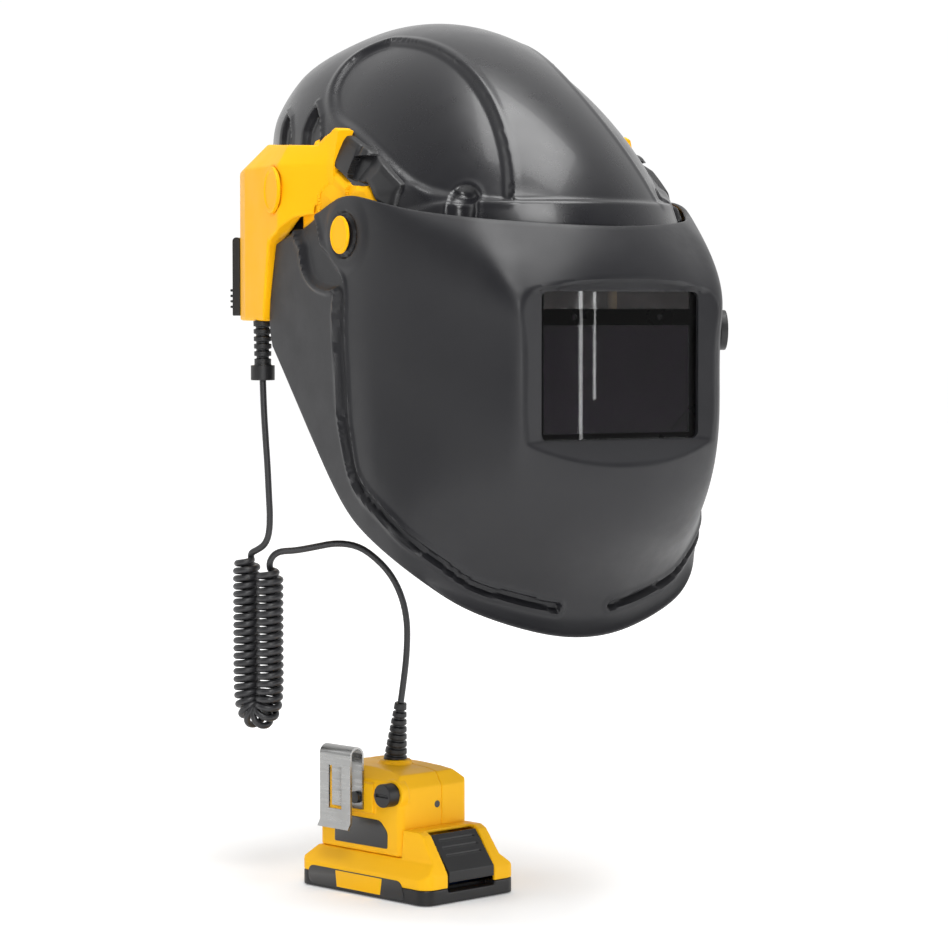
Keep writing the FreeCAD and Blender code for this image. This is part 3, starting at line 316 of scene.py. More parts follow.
def scaled(color, by):
    return tuple(min(1.0, c * by) for c in color)


def plastic(name, color, roughness, grain=1800.0, grain_depth=0.00006, grain_strength=0.25, spread=0.12,
            coat=0.0, specular=0.5):
    """Moulded plastic: slight colour drift, uneven gloss and a fine grain in its surface."""
    look = Look(name)
    look.color(look.noise(14.0), scaled(color, 1 - spread), scaled(color, 1 + spread))
    look.roughness(look.noise(45.0, 6.0, 0.6), roughness * 0.86, roughness * 1.14)
    look.bump(look.noise(grain, 2.0), grain_strength, grain_depth)
    put(look.shader, Coat_Weight=coat, Coat_Roughness=0.06, Specular_IOR_Level=specular)
    return look.material


def metal(name, color, roughness, brushed=False):
    """Bare metal, with fine lines along Z if brushed."""
    look = Look(name)
    put(look.shader, Metallic=1.0)
    stretch = look.node("Mapping", Scale=(40.0, 40.0, 900.0) if brushed else (300.0, 300.0, 300.0))
    lines = look.node("TexNoise", Scale=1.0, Detail=5.0)
    look.links.new(look.coordinates(), stretch.inputs["Vector"])
    look.links.new(stretch.outputs["Vector"], lines.inputs["Vector"])
    look.color(look.noise(60.0, 5.0), scaled(color, 0.86), color)
    look.roughness(lines.outputs["Fac"], roughness * 0.75, roughness * 1.3)
    look.bump(lines.outputs["Fac"], 0.15, 0.00005)
    return look.material


def clear(name, color, roughness=0.02):
    """Clear or tinted glass and polycarbonate."""
    look = Look(name)
    put(look.shader, Transmission_Weight=1.0, IOR=1.5)
    drift = look.noise(60.0, 3.0)
    look.color(drift, scaled(color, 0.96), color)
    look.roughness(drift, roughness * 0.5, roughness)
    return look.material


def webbing(name, color, thread_mm=1.1, depth=0.00025):
    """Woven cloth: crossing threads as wave patterns, darker in the hollows between threads as painted shade,
    with a soft nap.
    """
    look = Look(name)
    waves = []
    for direction in ("X", "Y", "Z"):
        wave = look.node("TexWave", Scale=1000.0 / thread_mm / 20.0, Distortion=0.6, Detail=1.0)
        wave.bands_direction = direction
        look.links.new(look.coordinates(), wave.inputs["Vector"])
        waves.append(wave.outputs["Fac"])
    weave = waves[0]
    for operation, wave in (("MAXIMUM", waves[1]), ("MULTIPLY", waves[2])):
        join = look.node("Math")
        join.operation = operation
        look.links.new(weave, join.inputs[0])
        look.links.new(wave, join.inputs[1])
        weave = join.outputs["Value"]
    # Painted shade: the base colour falls to 0.55 where the weave is low, in the hollows between threads.
    look.color(weave, scaled(color, 0.55), color, 0.1, 0.9)
    nap = look.noise(900.0, 3.0)
    look.roughness(nap, 0.82, 0.98)
    look.bump(nap, 0.25, 0.0002, look.bump(weave, 0.6, depth))
    put(look.shader, Sheen_Weight=0.35, Sheen_Roughness=0.5)
    return look.material


def striped_cells(name):
    """Thin-film solar strip: dark cells with fine bright lines between them."""
    look = Look(name)
    wave = look.node("TexWave", Scale=5.2)
    wave.bands_direction = "X"
    wave.wave_profile = "SAW"
    look.links.new(look.coordinates(), wave.inputs["Vector"])
    look.color(wave.outputs["Fac"], (0.020, 0.012, 0.012), (0.11, 0.075, 0.045), 0.88, 0.96)
    look.roughness(look.noise(90.0), 0.12, 0.22)
    put(look.shader, Coat_Weight=1.0)
    return look.material


def paint(obj, material):
    obj.data.materials.clear()
    obj.data.materials.append(material)


def paint_nodes(material, names):
    for name in names:
        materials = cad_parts[name].data.materials
        if not materials:
            materials.append(material)
        for k in range(len(materials)):
            materials[k] = material


# ---- Cap ----
def cap_point(angle, height, grow):
    """Point of the cap's form: angle from the front to the left, height 0 at the brim and 1 at the crown."""
    lean = CAP_CROWN_SHIFT * np.sin(np.pi * height / 2) ** CAP_SHIFT_POWER
    shrink = np.sqrt(np.maximum(1 - height * height, 0))
    x = (CAP_HALF_WIDTH + grow) * shrink * np.sin(angle)
    y = lean - (CAP_HALF_LENGTH + grow) * shrink * np.cos(angle)
    z = CAP_BASE_Z + (CAP_RISE + grow) * height
    return np.stack([x, y, z + 0 * x], -1)


# Edge of the sunk panel on each side, (x, y, z), from the brow up to the crown and back down.
LEAF_FRONT = [(50, -130, 43), (44, -120, 59), (39, -106, 77), (34, -84, 98), (32, -59, 117), (33, -32, 131),
              (37, -4, 141), (43, 22, 144)]
LEAF_REAR = [(43, 22, 144), (53, 36, 138), (69, 34, 124), (80, 26, 111), (88, 6, 95), (89, -17, 87),
             (88, -47, 71), (85, -73, 56), (79, -91, 48), (66, -113, 44), (50, -130, 43)]
LEAF_DEPTH, LEAF_RIDGE = 3.0, 0.5
BRIM_PROUD, BRIM_TOP_FRONT, BRIM_TOP_REAR = 2.2, 42.0, 36.0
NICHE_AXIS, NICHE_TOP, NICHE_HALF, NICHE_DEPTH, NICHE_RIM = (69.5, -111.5), 54.0, 8.0, 4.6, 0.4
FIN_DEPTH, FIN_RIM = 4.2, 1.3
SKIRT_PROUD, REAR_SWELL = 1.5, 4.0
# Scoops at the back of each side: outline in (y, z), then the straight front edge that stands up.
FINS = [([(35, 105), (38, 97), (38, 88), (33, 79), (30, 68), (2, 68), (7, 77), (12, 85), (22, 96)],
         [(2, 68), (7, 77), (12, 85), (22, 96), (35, 105)]),
        ([(72, 101), (75, 92), (74, 84), (70, 76), (64, 66), (40, 66), (46, 78), (51, 87), (60, 96)],
         [(40, 66), (46, 78), (51, 87), (60, 96), (72, 101)])]
SKIRT = [(-74, 54), (-82, 54), (-95, 45), (-107, 42), (-112, 31), (-90, 27), (-66, 29), (-66, 44)]


def leaf_recess(folded):
    """How far the side panels lie below the cap's skin."""
    front = smooth_line(LEAF_FRONT, 60)
    rear = smooth_line(LEAF_REAR, 80)
    outline = np.concatenate([front, rear[1:-1]])
    inside = inside_outline(folded[..., 1], folded[..., 2], outline[:, 1:])
    edge, _ = line_distance(folded, np.concatenate([outline, outline[:1]]))
    signed = np.where(inside, edge, -edge)
    floor = smooth_step(-1.2, 5.0, signed)
    ridge = bump(signed + 2.2, 4.0) * LEAF_RIDGE
    return -LEAF_DEPTH * floor + ridge


def brim_band(folded):
    """Rolled band round the foot of the cap, wider at the front between the two niches."""
    z = folded[..., 2]
    front = smooth_step(-70, -112, folded[..., 1])
    top = BRIM_TOP_FRONT * front + BRIM_TOP_REAR * (1 - front)
    profile = smooth_step(top + 2.5, top - 1.0, z) * smooth_step(24.0, 28.5, z)
    return BRIM_PROUD * front * profile


def niche(folded):
    """Arch-topped flute beside the brow, each side."""
    x, y, z = folded[..., 0], folded[..., 1], folded[..., 2]
    tangent = np.array([0.80, -0.60])
    across = (x - NICHE_AXIS[0]) * tangent[0] - (y - NICHE_AXIS[1]) * tangent[1]
    up = np.maximum(z - NICHE_TOP + NICHE_HALF, 0)
    radius = np.hypot(across, up)
    hollow = np.clip(1 - (radius / NICHE_HALF) ** 2, 0, 1) ** 0.75
    rim = bump(radius - NICHE_HALF - 1.4, 2.6) * 0.8 * NICHE_RIM
    near = (y < -60) & (z < NICHE_TOP + 8)
    return np.where(near, rim - NICHE_DEPTH * hollow, 0)


def outline_depth(y, z, outline):
    """Signed distance inside a closed (y, z) outline."""
    outline = np.array(outline, float)
    points = np.stack([y, z], -1)
    edge, _ = line_distance(points, np.concatenate([outline, outline[:1]]))
    return np.where(inside_outline(y, z, outline), edge, -edge)


def rear_fins(folded):
    """Two pointed scoops at the back of each side, above the housing."""
    y, z = folded[..., 1], folded[..., 2]
    total = np.zeros(y.shape)
    for outline, front_edge in FINS:
        depth = outline_depth(y, z, outline)
        front, _ = line_distance(np.stack([y, z], -1), np.array(front_edge, float))
        total -= FIN_DEPTH * smooth_step(0, 5.0, depth)
        total += FIN_RIM * bump(front + (depth > 0) * 0.4, 2.8)
    return total


def skirt(folded):
    """Swell of the cap between the slot cover and the brow niche."""
    swell = smooth_step(-1.5, 4.0, outline_depth(folded[..., 1], folded[..., 2], SKIRT))
    return SKIRT_PROUD * swell * smooth_step(-112, -104, folded[..., 1])


def cap_relief(points):
    folded = points.copy()
    folded[..., 0] = np.abs(folded[..., 0])
    relief = leaf_recess(folded) + brim_band(folded) + niche(folded) + rear_fins(folded) + skirt(folded)
    swell = REAR_SWELL * smooth_step(10, 90, folded[..., 1]) * smooth_step(70, 100, folded[..., 2])
    return relief * smooth_step(20.5, 24.0, points[..., 2]) + swell * smooth_step(150, 120, folded[..., 2])


def flatten_sides(points, x_limit):
    """Presses the cap's sides flat low down, beside the visor's flanges."""
    x, y, z = points[..., 0], points[..., 1], points[..., 2]
    zone = smooth_step(CAP_FLAT_HALF_LENGTH + 6, CAP_FLAT_HALF_LENGTH - 4, np.abs(y))
    zone = zone * smooth_step(CAP_FLAT_TOP + 6, CAP_FLAT_TOP - 4, z)
    limited = np.sign(x) * np.minimum(np.abs(x), x_limit)
    points[..., 0] = x + (limited - x) * zone
    return points


def build_cap(material):
    rows, columns = 170, 540
    heights = np.sin(np.linspace(0, math.radians(89.2), rows))
    angles = np.linspace(0, 2 * math.pi, columns, endpoint=False)
    angle_grid, height_grid = np.meshgrid(angles, heights)
    outer = cap_point(angle_grid, height_grid, 0.0)
    relief = cap_relief(outer)
    ahead = np.roll(outer, -1, axis=1) - np.roll(outer, 1, axis=1)
    up = np.gradient(outer, axis=0)
    normals = unit(np.cross(ahead, up))
    outer = outer + normals * relief[..., None]
    outer = flatten_sides(outer, CAP_FLAT_X)
    inner = flatten_sides(cap_point(angle_grid, height_grid, -CAP_WALL), CAP_FLAT_X - CAP_WALL)
    inner = inner + normals * np.minimum(relief, 0)[..., None] * 0.999
    edge = (outer[0] + inner[0]) / 2 - np.array([0, 0, CAP_WALL * 0.35])
    loop = np.concatenate([outer[::-1].reshape(-1, 3), edge, inner.reshape(-1, 3)])
    total_rows = rows * 2 + 1
    faces = [tuple(reversed(f)) for f in quads(total_rows, columns, wrap_columns=True)]
    faces.append(tuple(range(columns)))
    faces.append(tuple(reversed(range((total_rows - 1) * columns, total_rows * columns))))
    cap = make_object("cap", loop, faces, "helmet", 50)
    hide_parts("cap_shell")
    paint(cap, material)
    return cap


# ---- Visor ----
# The frame's visor surface, half width: top edge, brow crease, four down the face, rim channel, rim.
VISOR_ROWS = [
    [(0, -157, 28.5), (30, -152, 29.5), (61, -133, 32), (75, -120, 34), (93, -94, 38),
     (106, -69, 43.5), (110.5, -40, 46), (111, -8, 35), (111.5, 37.8, 20.5)],
    [(0, -176, 0.6), (30, -174.5, 0), (60, -167, -4), (74, -156, 4), (94, -109, 22),
     (106, -78, 27), (111, -43, 28), (111.5, -4, 21), (111.5, 40, 12)],
    [(0, -177.5, -28), (30, -176, -28), (60, -167.5, -28), (72.5, -156, -25), (92.5, -110, -14),
     (105, -77, -10), (111, -46, -4), (111.5, -2, 5), (111.5, 42, 4.5)],
    [(0, -178, -65), (30, -176.5, -65), (60, -168, -64), (72.5, -156, -60), (92.5, -112, -52),
     (104.5, -78, -43), (110.5, -50, -29), (111.5, 0, -13), (111.5, 44, -4)],
    [(0, -177, -103), (30, -175, -102), (60, -166, -99), (73, -153.5, -93), (93, -110, -82),
     (104.5, -79, -72), (110, -54, -54), (111, 2, -29), (111.5, 45.6, -12)],
    [(0, -162, -147), (29, -159.5, -145), (59, -150, -139), (74.5, -138, -131), (96, -107, -114),
     (105.5, -80, -101), (109.5, -57, -79), (111, 4, -44), (111.5, 46.6, -20)],
    [(0, -125, -183), (27, -124, -181), (58, -117.5, -172), (82, -107, -160), (100, -97, -143),
     (106.5, -79, -128), (109.5, -58, -104), (110.7, 7, -57), (111.2, 47, -29)],
    [(0, -130, -201), (28, -128, -198), (62, -119.5, -187), (83, -109, -175), (99.5, -91, -159),
     (106.5, -60, -142), (109.8, -31, -119), (110.6, 13.8, -70), (110.8, 44.5, -39)],
]
# Channel pressed into each side: (x, y, z, half width) along its middle, from above the pivot to the chin.
CHANNEL = np.array([
    (111, 4, 40, 12), (111, -3, 30, 12.5), (112, -6, 16, 12.5), (112, -15, 8, 10.5), (111, -31, 3, 5.5),
    (111, -40.5, -2, 5.0), (111, -41.5, -12, 6.0), (111, -41, -24, 6.2), (110.5, -42, -51, 6.2),
    (110, -45, -78, 5.9), (109, -51, -101, 5.2), (109, -62, -118, 4.4), (106, -81, -131, 3.8),
    (96, -100, -147, 3.4), (80, -111, -161, 3.2), (60, -119, -174, 3.0), (41, -125, -179, 2.8),
    (16, -127, -186, 2.8), (0, -127, -189, 2.8)])


CHANNEL_DEPTH, CHANNEL_LIP = 2.9, 1.1
BOSS_PROUD, BUTTON_GROOVE = 0.9, 1.5
BORE_R = 6.1
WINDOW_CORNER_R = 4.0


def both_sides(rows):
    """Rows of points from the middle to the wearer's left, with their mirror image put before them."""
    return np.array([[(-x, y, z) for x, y, z in reversed(row)] + list(row[1:]) for row in rows], float)


def neighbour_step(grid):
    """From each point's last neighbour to its next along the second axis, one-sided at the ends."""
    padded = np.concatenate([grid[:, :1], grid, grid[:, -1:]], axis=1)
    return padded[:, 2:] - padded[:, :-2]


def wall_normals(grid):
    """The normals along which the frame's visor wall is measured."""
    down = neighbour_step(grid.transpose(1, 0, 2)).transpose(1, 0, 2)
    return unit(np.cross(neighbour_step(grid), down))


def bezel_depth(points):
    """The y of the window's sloping recess at each (x, z)."""
    x, z = np.abs(points[..., 0]), points[..., 2]
    side = (x - WINDOW_HALF_WIDTH) / BEZEL_SIDE_SLOPE
    top = (z - WINDOW_TOP) / BEZEL_TOP_SLOPE
    sill = (WINDOW_BOTTOM - z) / BEZEL_SILL_SLOPE
    parts = np.maximum(np.stack([side, top, sill]), 0)
    out = np.sum(parts ** 3.0, axis=0) ** (1 / 3.0)
    return WINDOW_Y - out


def visor_relief(points):
    """Channel, pivot boss and button groove of the visor's skin, outwards in mm."""
    folded = points.copy()
    folded[..., 0] = np.abs(folded[..., 0])
    line = smooth_line(CHANNEL[:, :3], 150)
    flat = folded.reshape(-1, 3)
    snapped = np.array([flat[np.argmin(np.sum((flat - p) ** 2, axis=1))] for p in line])
    snapped = smooth_line(snapped[::5], 150)
    distance, place = line_distance(folded, snapped)
    half = np.interp(place, np.linspace(0, 1, len(CHANNEL)), CHANNEL[:, 3])
    wide = np.clip(half / 6.0, 0.6, 1.8)
    floor = smooth_step(half + 0.3, half - 2.6 * wide, distance)
    lips = bump(distance - half - 1.0, 2.6)
    relief = (CHANNEL_LIP * lips - CHANNEL_DEPTH * floor) * smooth_step(-4, 6, 38 - points[..., 2])
    radius = np.hypot(points[..., 1] - PIVOT_Y, points[..., 2] - PIVOT_Z)
    side = np.abs(points[..., 0]) > 100
    boss = BOSS_PROUD * smooth_step(PIVOT_BOSS_R + 4, PIVOT_BOSS_R - 3, radius)
    ring = -BUTTON_GROOVE * smooth_step(13.6, 12.9, radius) * smooth_step(10.2, 10.9, radius)
    clear_of_boss = smooth_step(PIVOT_BOSS_R - 2, PIVOT_BOSS_R + 4, radius)
    return np.where(side, relief * clear_of_boss + boss + ring, relief)


def build_visor(material):
    rows, columns = 210, 560
    poles = both_sides(VISOR_ROWS)
    outer = smooth_surface(poles, rows, columns)
    inner = smooth_surface(poles + wall_normals(poles) * VISOR_WALL, rows, columns)
    normals = surface_normals(outer)
    if normals[rows // 2, columns // 2, 1] > 0:
        normals = -normals
    outer = outer + normals * visor_relief(outer)[..., None]
    front = outer[..., 1] < -140
    recess = bezel_depth(outer)
    gap = recess - outer[..., 1]
    blend = 1.6
    eased = np.maximum(gap, 0) + np.maximum(blend - np.abs(gap), 0) ** 2 / (4 * blend)
    lifted = outer[..., 1] + np.where(gap > -blend, eased, 0)
    outer[..., 1] = np.where(front, lifted, outer[..., 1])
    z = outer[..., 2]
    window = front & (np.abs(outer[..., 0]) < 75) & (z > WINDOW_BOTTOM - 20) & (z < WINDOW_TOP + 12)
    behind = np.maximum(inner[..., 1], np.maximum(outer[..., 1] + 1.6, BEZEL_BACK_Y - 0.4))
    inner[..., 1] = np.where(window, behind, inner[..., 1])
    visor = shell_between("visor", outer, inner, "visor", 5, 45)
    cut_by(visor, window_cutter())
    bore = [(BORE_R, -130), (BORE_R, 130)]
    cut_by(visor, lathe("bore_cutter", bore, (0, PIVOT_Y, PIVOT_Z), (1, 0, 0), None))
    soften(visor, 45)
    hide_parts("visor_shell")
    paint(visor, material)
    return visor


def window_cutter():
    """Window with rounded corners, drawn through the bezel."""
    radius, steps = WINDOW_CORNER_R, 6
    corners = [(WINDOW_HALF_WIDTH, WINDOW_TOP, 0), (-WINDOW_HALF_WIDTH, WINDOW_TOP, 1),
               (-WINDOW_HALF_WIDTH, WINDOW_BOTTOM, 2), (WINDOW_HALF_WIDTH, WINDOW_BOTTOM, 3)]
    loop = []
    for x, z, quarter in corners:
        centre_x = x - math.copysign(radius, x)
        centre_z = z - radius if z == WINDOW_TOP else z + radius
        for k in range(steps + 1):
            angle = math.pi / 2 * (quarter + k / steps)
            loop.append((centre_x + radius * math.cos(angle), centre_z + radius * math.sin(angle)))
    count = len(loop)
    vertices = [(x, y, z) for y in (-185.0, -150.0) for x, z in loop]
    faces = [(k, (k + 1) % count, count + (k + 1) % count, count + k) for k in range(count)]
    faces += [tuple(reversed(range(count))), tuple(range(count, 2 * count))]
    return make_object("window_cutter", vertices, faces, None)


# ---- Arm and slot cover on the cap's side ----
# Free half width beside the cap at each distance from the pivot, where the lifted visor passes.
VISOR_WAY = [(0, 104.2), (21, 104.2), (22, 103.2), (30, 99.2), (38, 94.3), (46, 89.0), (54, 83.6),
             (62, 77.6), (70, 71.3), (90, 45.8)]
ARM = [(14, 82), (9, 80), (5, 84), (-3, 88), (-12, 86), (-13, 80), (-12, 73), (-12, 66), (-25, 60),
       (-36, 54), (-43, 53), (-50, 53), (-62, 43), (-73, 35), (-61, 37), (-55, 41), (-41, 44), (-29, 44),
       (-22, 39), (-13, 35), (14, 28)]
SLOT_COVER = [(-13, 85), (-23, 82), (-32, 78), (-42, 74), (-57, 65), (-75, 53), (-76, 42), (-75, 36),
              (-62, 44), (-51, 54), (-37, 56), (-13, 67), (-13, 78)]
SLOT_LINES = [[(-35, 77), (-37, 54)], [(-44, 75), (-50, 52)]]


ARM_HEIGHT, SLOT_COVER_HEIGHT = 2.5, 4.6
PATCH_FOOT = -1.6


def dome_patch(name, outline, height, side, body, material, extra=None):
    """Raised piece on the cap's side, as thick as height within the outline, with rounded edges."""
    rows, columns = 130, 260
    angles = np.linspace(math.radians(40), math.radians(112), columns)
    heights = np.linspace(0.03, 0.54, rows)
    angle_grid, height_grid = np.meshgrid(angles, heights)
    base = flatten_sides(cap_point(angle_grid, height_grid, 0.0), CAP_FLAT_X)
    y, z = base[..., 1], base[..., 2]
    inside = outline_depth(y, z, outline)
    reach = np.hypot(y - PIVOT_Y, z - PIVOT_Z)
    way = np.interp(reach, [r for r, _ in VISOR_WAY], [x for _, x in VISOR_WAY])
    swept = (y < -34) & ((z < 70) | (y < -46))
    top = height - 0.8 * smooth_step(3.5, 0.0, inside)
    if extra is not None:
        top = top + extra(y, z)
    room = np.where(swept, way - base[..., 0] - 0.15, 50)
    top = np.minimum(top, np.maximum(room, 0.35))
    thick = PATCH_FOOT + (top - PATCH_FOOT) * smooth_step(-0.9, 0.7, inside)
    leans = base[..., 0] / CAP_HALF_WIDTH ** 2, (y - 12) / CAP_HALF_LENGTH ** 2, (z - CAP_BASE_Z) / 300.0 ** 2
    out = unit(np.stack(leans, -1))
    flat = smooth_step(52, 46, z)[..., None]
    out = unit(out * (1 - flat) + np.array([1.0, 0, 0]) * flat)
    outer, inner = base + out * thick[..., None], base + out * PATCH_FOOT
    used = thick > PATCH_FOOT + 0.02
    cell = used[:-1, :-1] | used[1:, :-1] | used[:-1, 1:] | used[1:, 1:]
    count = rows * columns
    faces = []
    for i, j in zip(*np.nonzero(cell)):
        a = i * columns + j
        b, c, d = a + 1, a + columns + 1, a + columns
        faces.append((a, b, c, d))
        faces.append((count + d, count + c, count + b, count + a))
    edges = {(face[k], face[(k + 1) % 4]): None for face in faces[::2] for k in range(4)}
    faces += [(b, a, count + a, count + b) for a, b in edges if (b, a) not in edges]
    vertices = np.concatenate([outer.reshape(-1, 3), inner.reshape(-1, 3)])
    vertices[:, 0] *= side
    kept = sorted({v for face in faces for v in face})
    place = {v: k for k, v in enumerate(kept)}
    faces = [tuple(place[v] for v in face) for face in faces]
    patch = make_object(name, vertices[kept], faces, body, 42)
    paint(patch, material)
    return patch


def slot_grooves(y, z):
    """Creases between the slot cover's three facets."""
    points = np.stack([y, z], -1)
    total = np.zeros(y.shape)
    for line in SLOT_LINES:
        distance, _ = line_distance(points, np.array(line, float))
        total -= 1.1 * bump(distance, 2.2)
    middle = smooth_step(0, 3, -(y + 36)) * smooth_step(0, 3, y + 47)
    return total + 0.9 * middle


def arm_facet(y, z):
    """The arm's lower edge falls away below its crease."""
    return -1.2 * smooth_step(0, 6, (58.0 + 0.55 * (y + 30)) - z - 4) * (y < -8)


def build_arm(side, material, trim):
    name = "left" if side > 0 else "right"
    dome_patch("housing_arm_" + name, ARM, ARM_HEIGHT, side, "helmet", material, arm_facet)
    cover = dome_patch("slot_block_" + name, SLOT_COVER, SLOT_COVER_HEIGHT, side, "helmet",
                       trim, slot_grooves)
    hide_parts("slot_cover_" + name)


def build_housing(material):
    """The blower housing's body: the arms are pieces of their own."""
    housing = moulded("blower_housing", "helmet", 0.9, 9)
    for side in (-1, 1):
        x0, x1 = sorted((side * 60, side * 140))
        corners = [(x, y, z) for x in (x0, x1) for y in (-120, -20) for z in (10, 120)]
        faces = [(0, 1, 3, 2), (4, 6, 7, 5), (0, 4, 5, 1), (2, 3, 7, 6), (0, 2, 6, 4), (1, 5, 7, 3)]
        cut_by(housing, make_object("arm_cutter", corners, faces, None))
    soften(housing, 40)
    paint(housing, material)


# ---- Headgear ----
PAD_HALF_WIDTH, PAD_HALF_LENGTH, PAD_SPREAD = 74.2, 94.2, math.radians(66)
PAD_HALF_HEIGHT, PAD_HALF_THICKNESS, PAD_SEAM_HEIGHT = 14.4, 1.8, 11.4
STRAP_WIDTH, STRAP_SELVEDGE, STRAP_TOP, STRAP_FOOT = 21.4, 8.6, 111.2, math.asin(13.5 / 112)
STRAP_ACROSS_HALF, STRAP_ALONG_HALF, STRAP_CROSSING = 78.6, 98.6, 0.75


def build_sweatband(material):
    """Padded brow band with a sewn border, inside the front of the headband."""
    half_width, half_length = PAD_HALF_WIDTH, PAD_HALF_LENGTH
    steps, section = 260, 40
    rings = []
    for k in range(steps):
        t = -PAD_SPREAD + 2 * PAD_SPREAD * k / (steps - 1)
        centre = np.array([half_width * math.sin(t), -half_length * math.cos(t), 0])
        out = unit(np.array([math.sin(t) / half_width, -math.cos(t) / half_length, 0]))
        taper = min(1.0, math.sin(math.pi * (k + 0.6) / steps) * 9) ** 0.5
        ring = []
        for q in range(section):
            a = 2 * math.pi * q / section
            z = PAD_HALF_HEIGHT * math.copysign(abs(math.sin(a)) ** 0.55, math.sin(a))
            seam = 1 - 0.45 * math.exp(-((abs(z) - PAD_SEAM_HEIGHT) / 0.8) ** 2)
            puff = 1 + 0.07 * math.sin(k * 2 * math.pi / 13)
            x = PAD_HALF_THICKNESS * math.copysign(abs(math.cos(a)) ** 0.6, math.cos(a)) * taper * seam
            x = x * (puff if x < 0 else 1)
            ring.append(centre + out * x + np.array([0, 0, z * (0.93 + 0.07 * taper)]))
        rings.append(np.array(ring))
    faces = quads(steps, section, wrap_columns=True) + end_caps(steps, section)
    pad = make_object("brow_pad", np.concatenate(rings), faces, "helmet", 60)
    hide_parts("sweatband")
    paint(pad, material)


def build_straps(material):
    """Two webbing straps crossing over the crown, with thickened sewn edges."""
    steps, across = 150, 23
    straps = ("strap_across", STRAP_ACROSS_HALF, False), ("strap_along", STRAP_ALONG_HALF, True)
    for name, half, along in straps:
        lines = []
        drop = 0.0 if along else STRAP_CROSSING
        for k in range(steps):
            t = STRAP_FOOT + (math.pi - 2 * STRAP_FOOT) * k / (steps - 1)
            centre = np.array([half * math.cos(t), 0, (STRAP_TOP - drop) * math.sin(t)])
            out = unit(np.array([math.cos(t) / half, 0, math.sin(t) / STRAP_TOP]))
            rib = 0.10 * math.sin(k * 2.4)
            ring = []
            for side in (1, -1):
                for q in range(across):
                    w = STRAP_WIDTH * (q / (across - 1) - 0.5)
                    thick = 0.42 + (0.16 if abs(w) > STRAP_SELVEDGE else rib)
                    thick *= 1 if 0 < q < across - 1 else 0.3
                    ring.append(centre + out * side * thick + np.array([0, w * side, 0]))
            lines.append(np.array(ring))
        grid = np.concatenate(lines)
        if along:
            grid = grid[:, [1, 0, 2]] * np.array([1, -1, 1])
        faces = quads(steps, 2 * across, wrap_columns=True) + end_caps(steps, 2 * across)
        strap = make_object(name, grid, faces, "helmet", 50)
        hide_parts("crown_straps")
        paint(strap, material)


SEAL_ROWS = [
    [(0, -114, -171), (28, -112, -169), (56, -104, -160), (78, -93, -148), (92, -82, -134),
     (100, -66, -116), (103.5, -46, -92), (105, -10, -52)],
    [(0, -98, -160), (24, -96, -158), (48, -88, -149), (68, -76, -137), (82, -64, -122),
     (91, -50, -104), (96, -32, -80), (99, -4, -46)],
    [(0, -80, -142), (20, -78, -140), (40, -72, -133), (57, -62, -123), (69, -50, -108),
     (78, -37, -90), (84, -21, -68), (89, 2, -42)],
]


GUSSET_FOLDS, GUSSET_FOLD_HEIGHT, GUSSET_CLOTH = 44, 1.55, 0.6


def build_face_seal(material):
    """Cloth gusset from the visor's rim to the face, gathered by the elastic in its inner edge."""
    rows, columns = 44, 620
    sheet = smooth_surface(both_sides(SEAL_ROWS), rows, columns)
    normals = surface_normals(sheet)
    along = np.linspace(0, 1, columns)[None, :]
    inward = np.linspace(0, 1, rows)[:, None]
    phase = along * 2 * math.pi * GUSSET_FOLDS + 2.2 * np.sin(along * 19) + 0.9 * inward
    folds = GUSSET_FOLD_HEIGHT * np.sin(phase) * smooth_step(0.05, 0.7, inward)
    folds = folds * (0.75 + 0.25 * np.sin(along * 37))
    hem = 0.5 * bump(inward - 0.95, 0.04)
    sheet = sheet + normals * (folds + hem)[..., None]
    inner = sheet + normals * GUSSET_CLOTH
    seal = shell_between("face_gusset", sheet, inner, "visor", 2, 60)
    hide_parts("face_seal")
    paint(seal, material)


# ---- Small parts ----
def build_buttons(yellow):
    for side in (-1, 1):
        name = "right" if side < 0 else "left"
        profile = [(0.0, -0.05), (9.6, -0.05), (10.5, 0.0), (10.8, 0.3), (10.8, 1.0), (10.2, 1.65),
                   (9.4, 1.85), (8.9, 1.7), (8.6, 1.45), (4.0, 1.5), (0.0, 1.55)]
        base = (side * (PIVOT_FACE_X + 0.3), PIVOT_Y, PIVOT_Z)
        button = lathe("button_" + name, profile, base, (side, 0, 0), "helmet", 72)
        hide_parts("pivot_button_" + name)
        paint(button, yellow)


def on_pack(points):
    """Points from the belt pack's own axes to the frame."""
    points = np.array(points, float)
    c, s = math.cos(PACK_YAW), math.sin(PACK_YAW)
    u, v, z = points.T
    return np.stack([u * c - v * s, u * s + v * c, z], 1) + PACK_ORIGIN


def rounded_outline(corners, radii, steps=7):
    """Outline with each corner rounded by its own radius."""
    points = []
    count = len(corners)
    for k in range(count):
        before, here, after = (np.array(corners[(k + d) % count], float) for d in (-1, 0, 1))
        a, b = unit(before - here), unit(after - here)
        reach = min(radii[k], 0.49 * np.linalg.norm(before - here), 0.49 * np.linalg.norm(after - here))
        for q in range(steps + 1):
            t = q / steps
            start, end = here + a * reach, here + b * reach
            points.append((1 - t) ** 2 * start + 2 * t * (1 - t) * here + t ** 2 * end)
    return np.array(points)


def side_plate(name, outline, v, proud, body, material):
    """Thin plate on the pack's clip side, with an eased edge."""
    centre = outline.mean(axis=0)
    rings = []
    for out, inset in ((-0.25, 0.0), (proud - 0.15, 0.0), (proud, 0.25)):
        ring = outline + unit(centre - outline) * inset
        rings.append(np.stack([ring[:, 0], np.full(len(ring), v - out), ring[:, 1]], 1))
    vertices = on_pack(np.concatenate(rings))
    count = len(outline)
    faces = quads(3, count, wrap_columns=True) + end_caps(3, count)
    plate = make_object(name, vertices, faces, body, 35)
    paint(plate, material)
    return plate


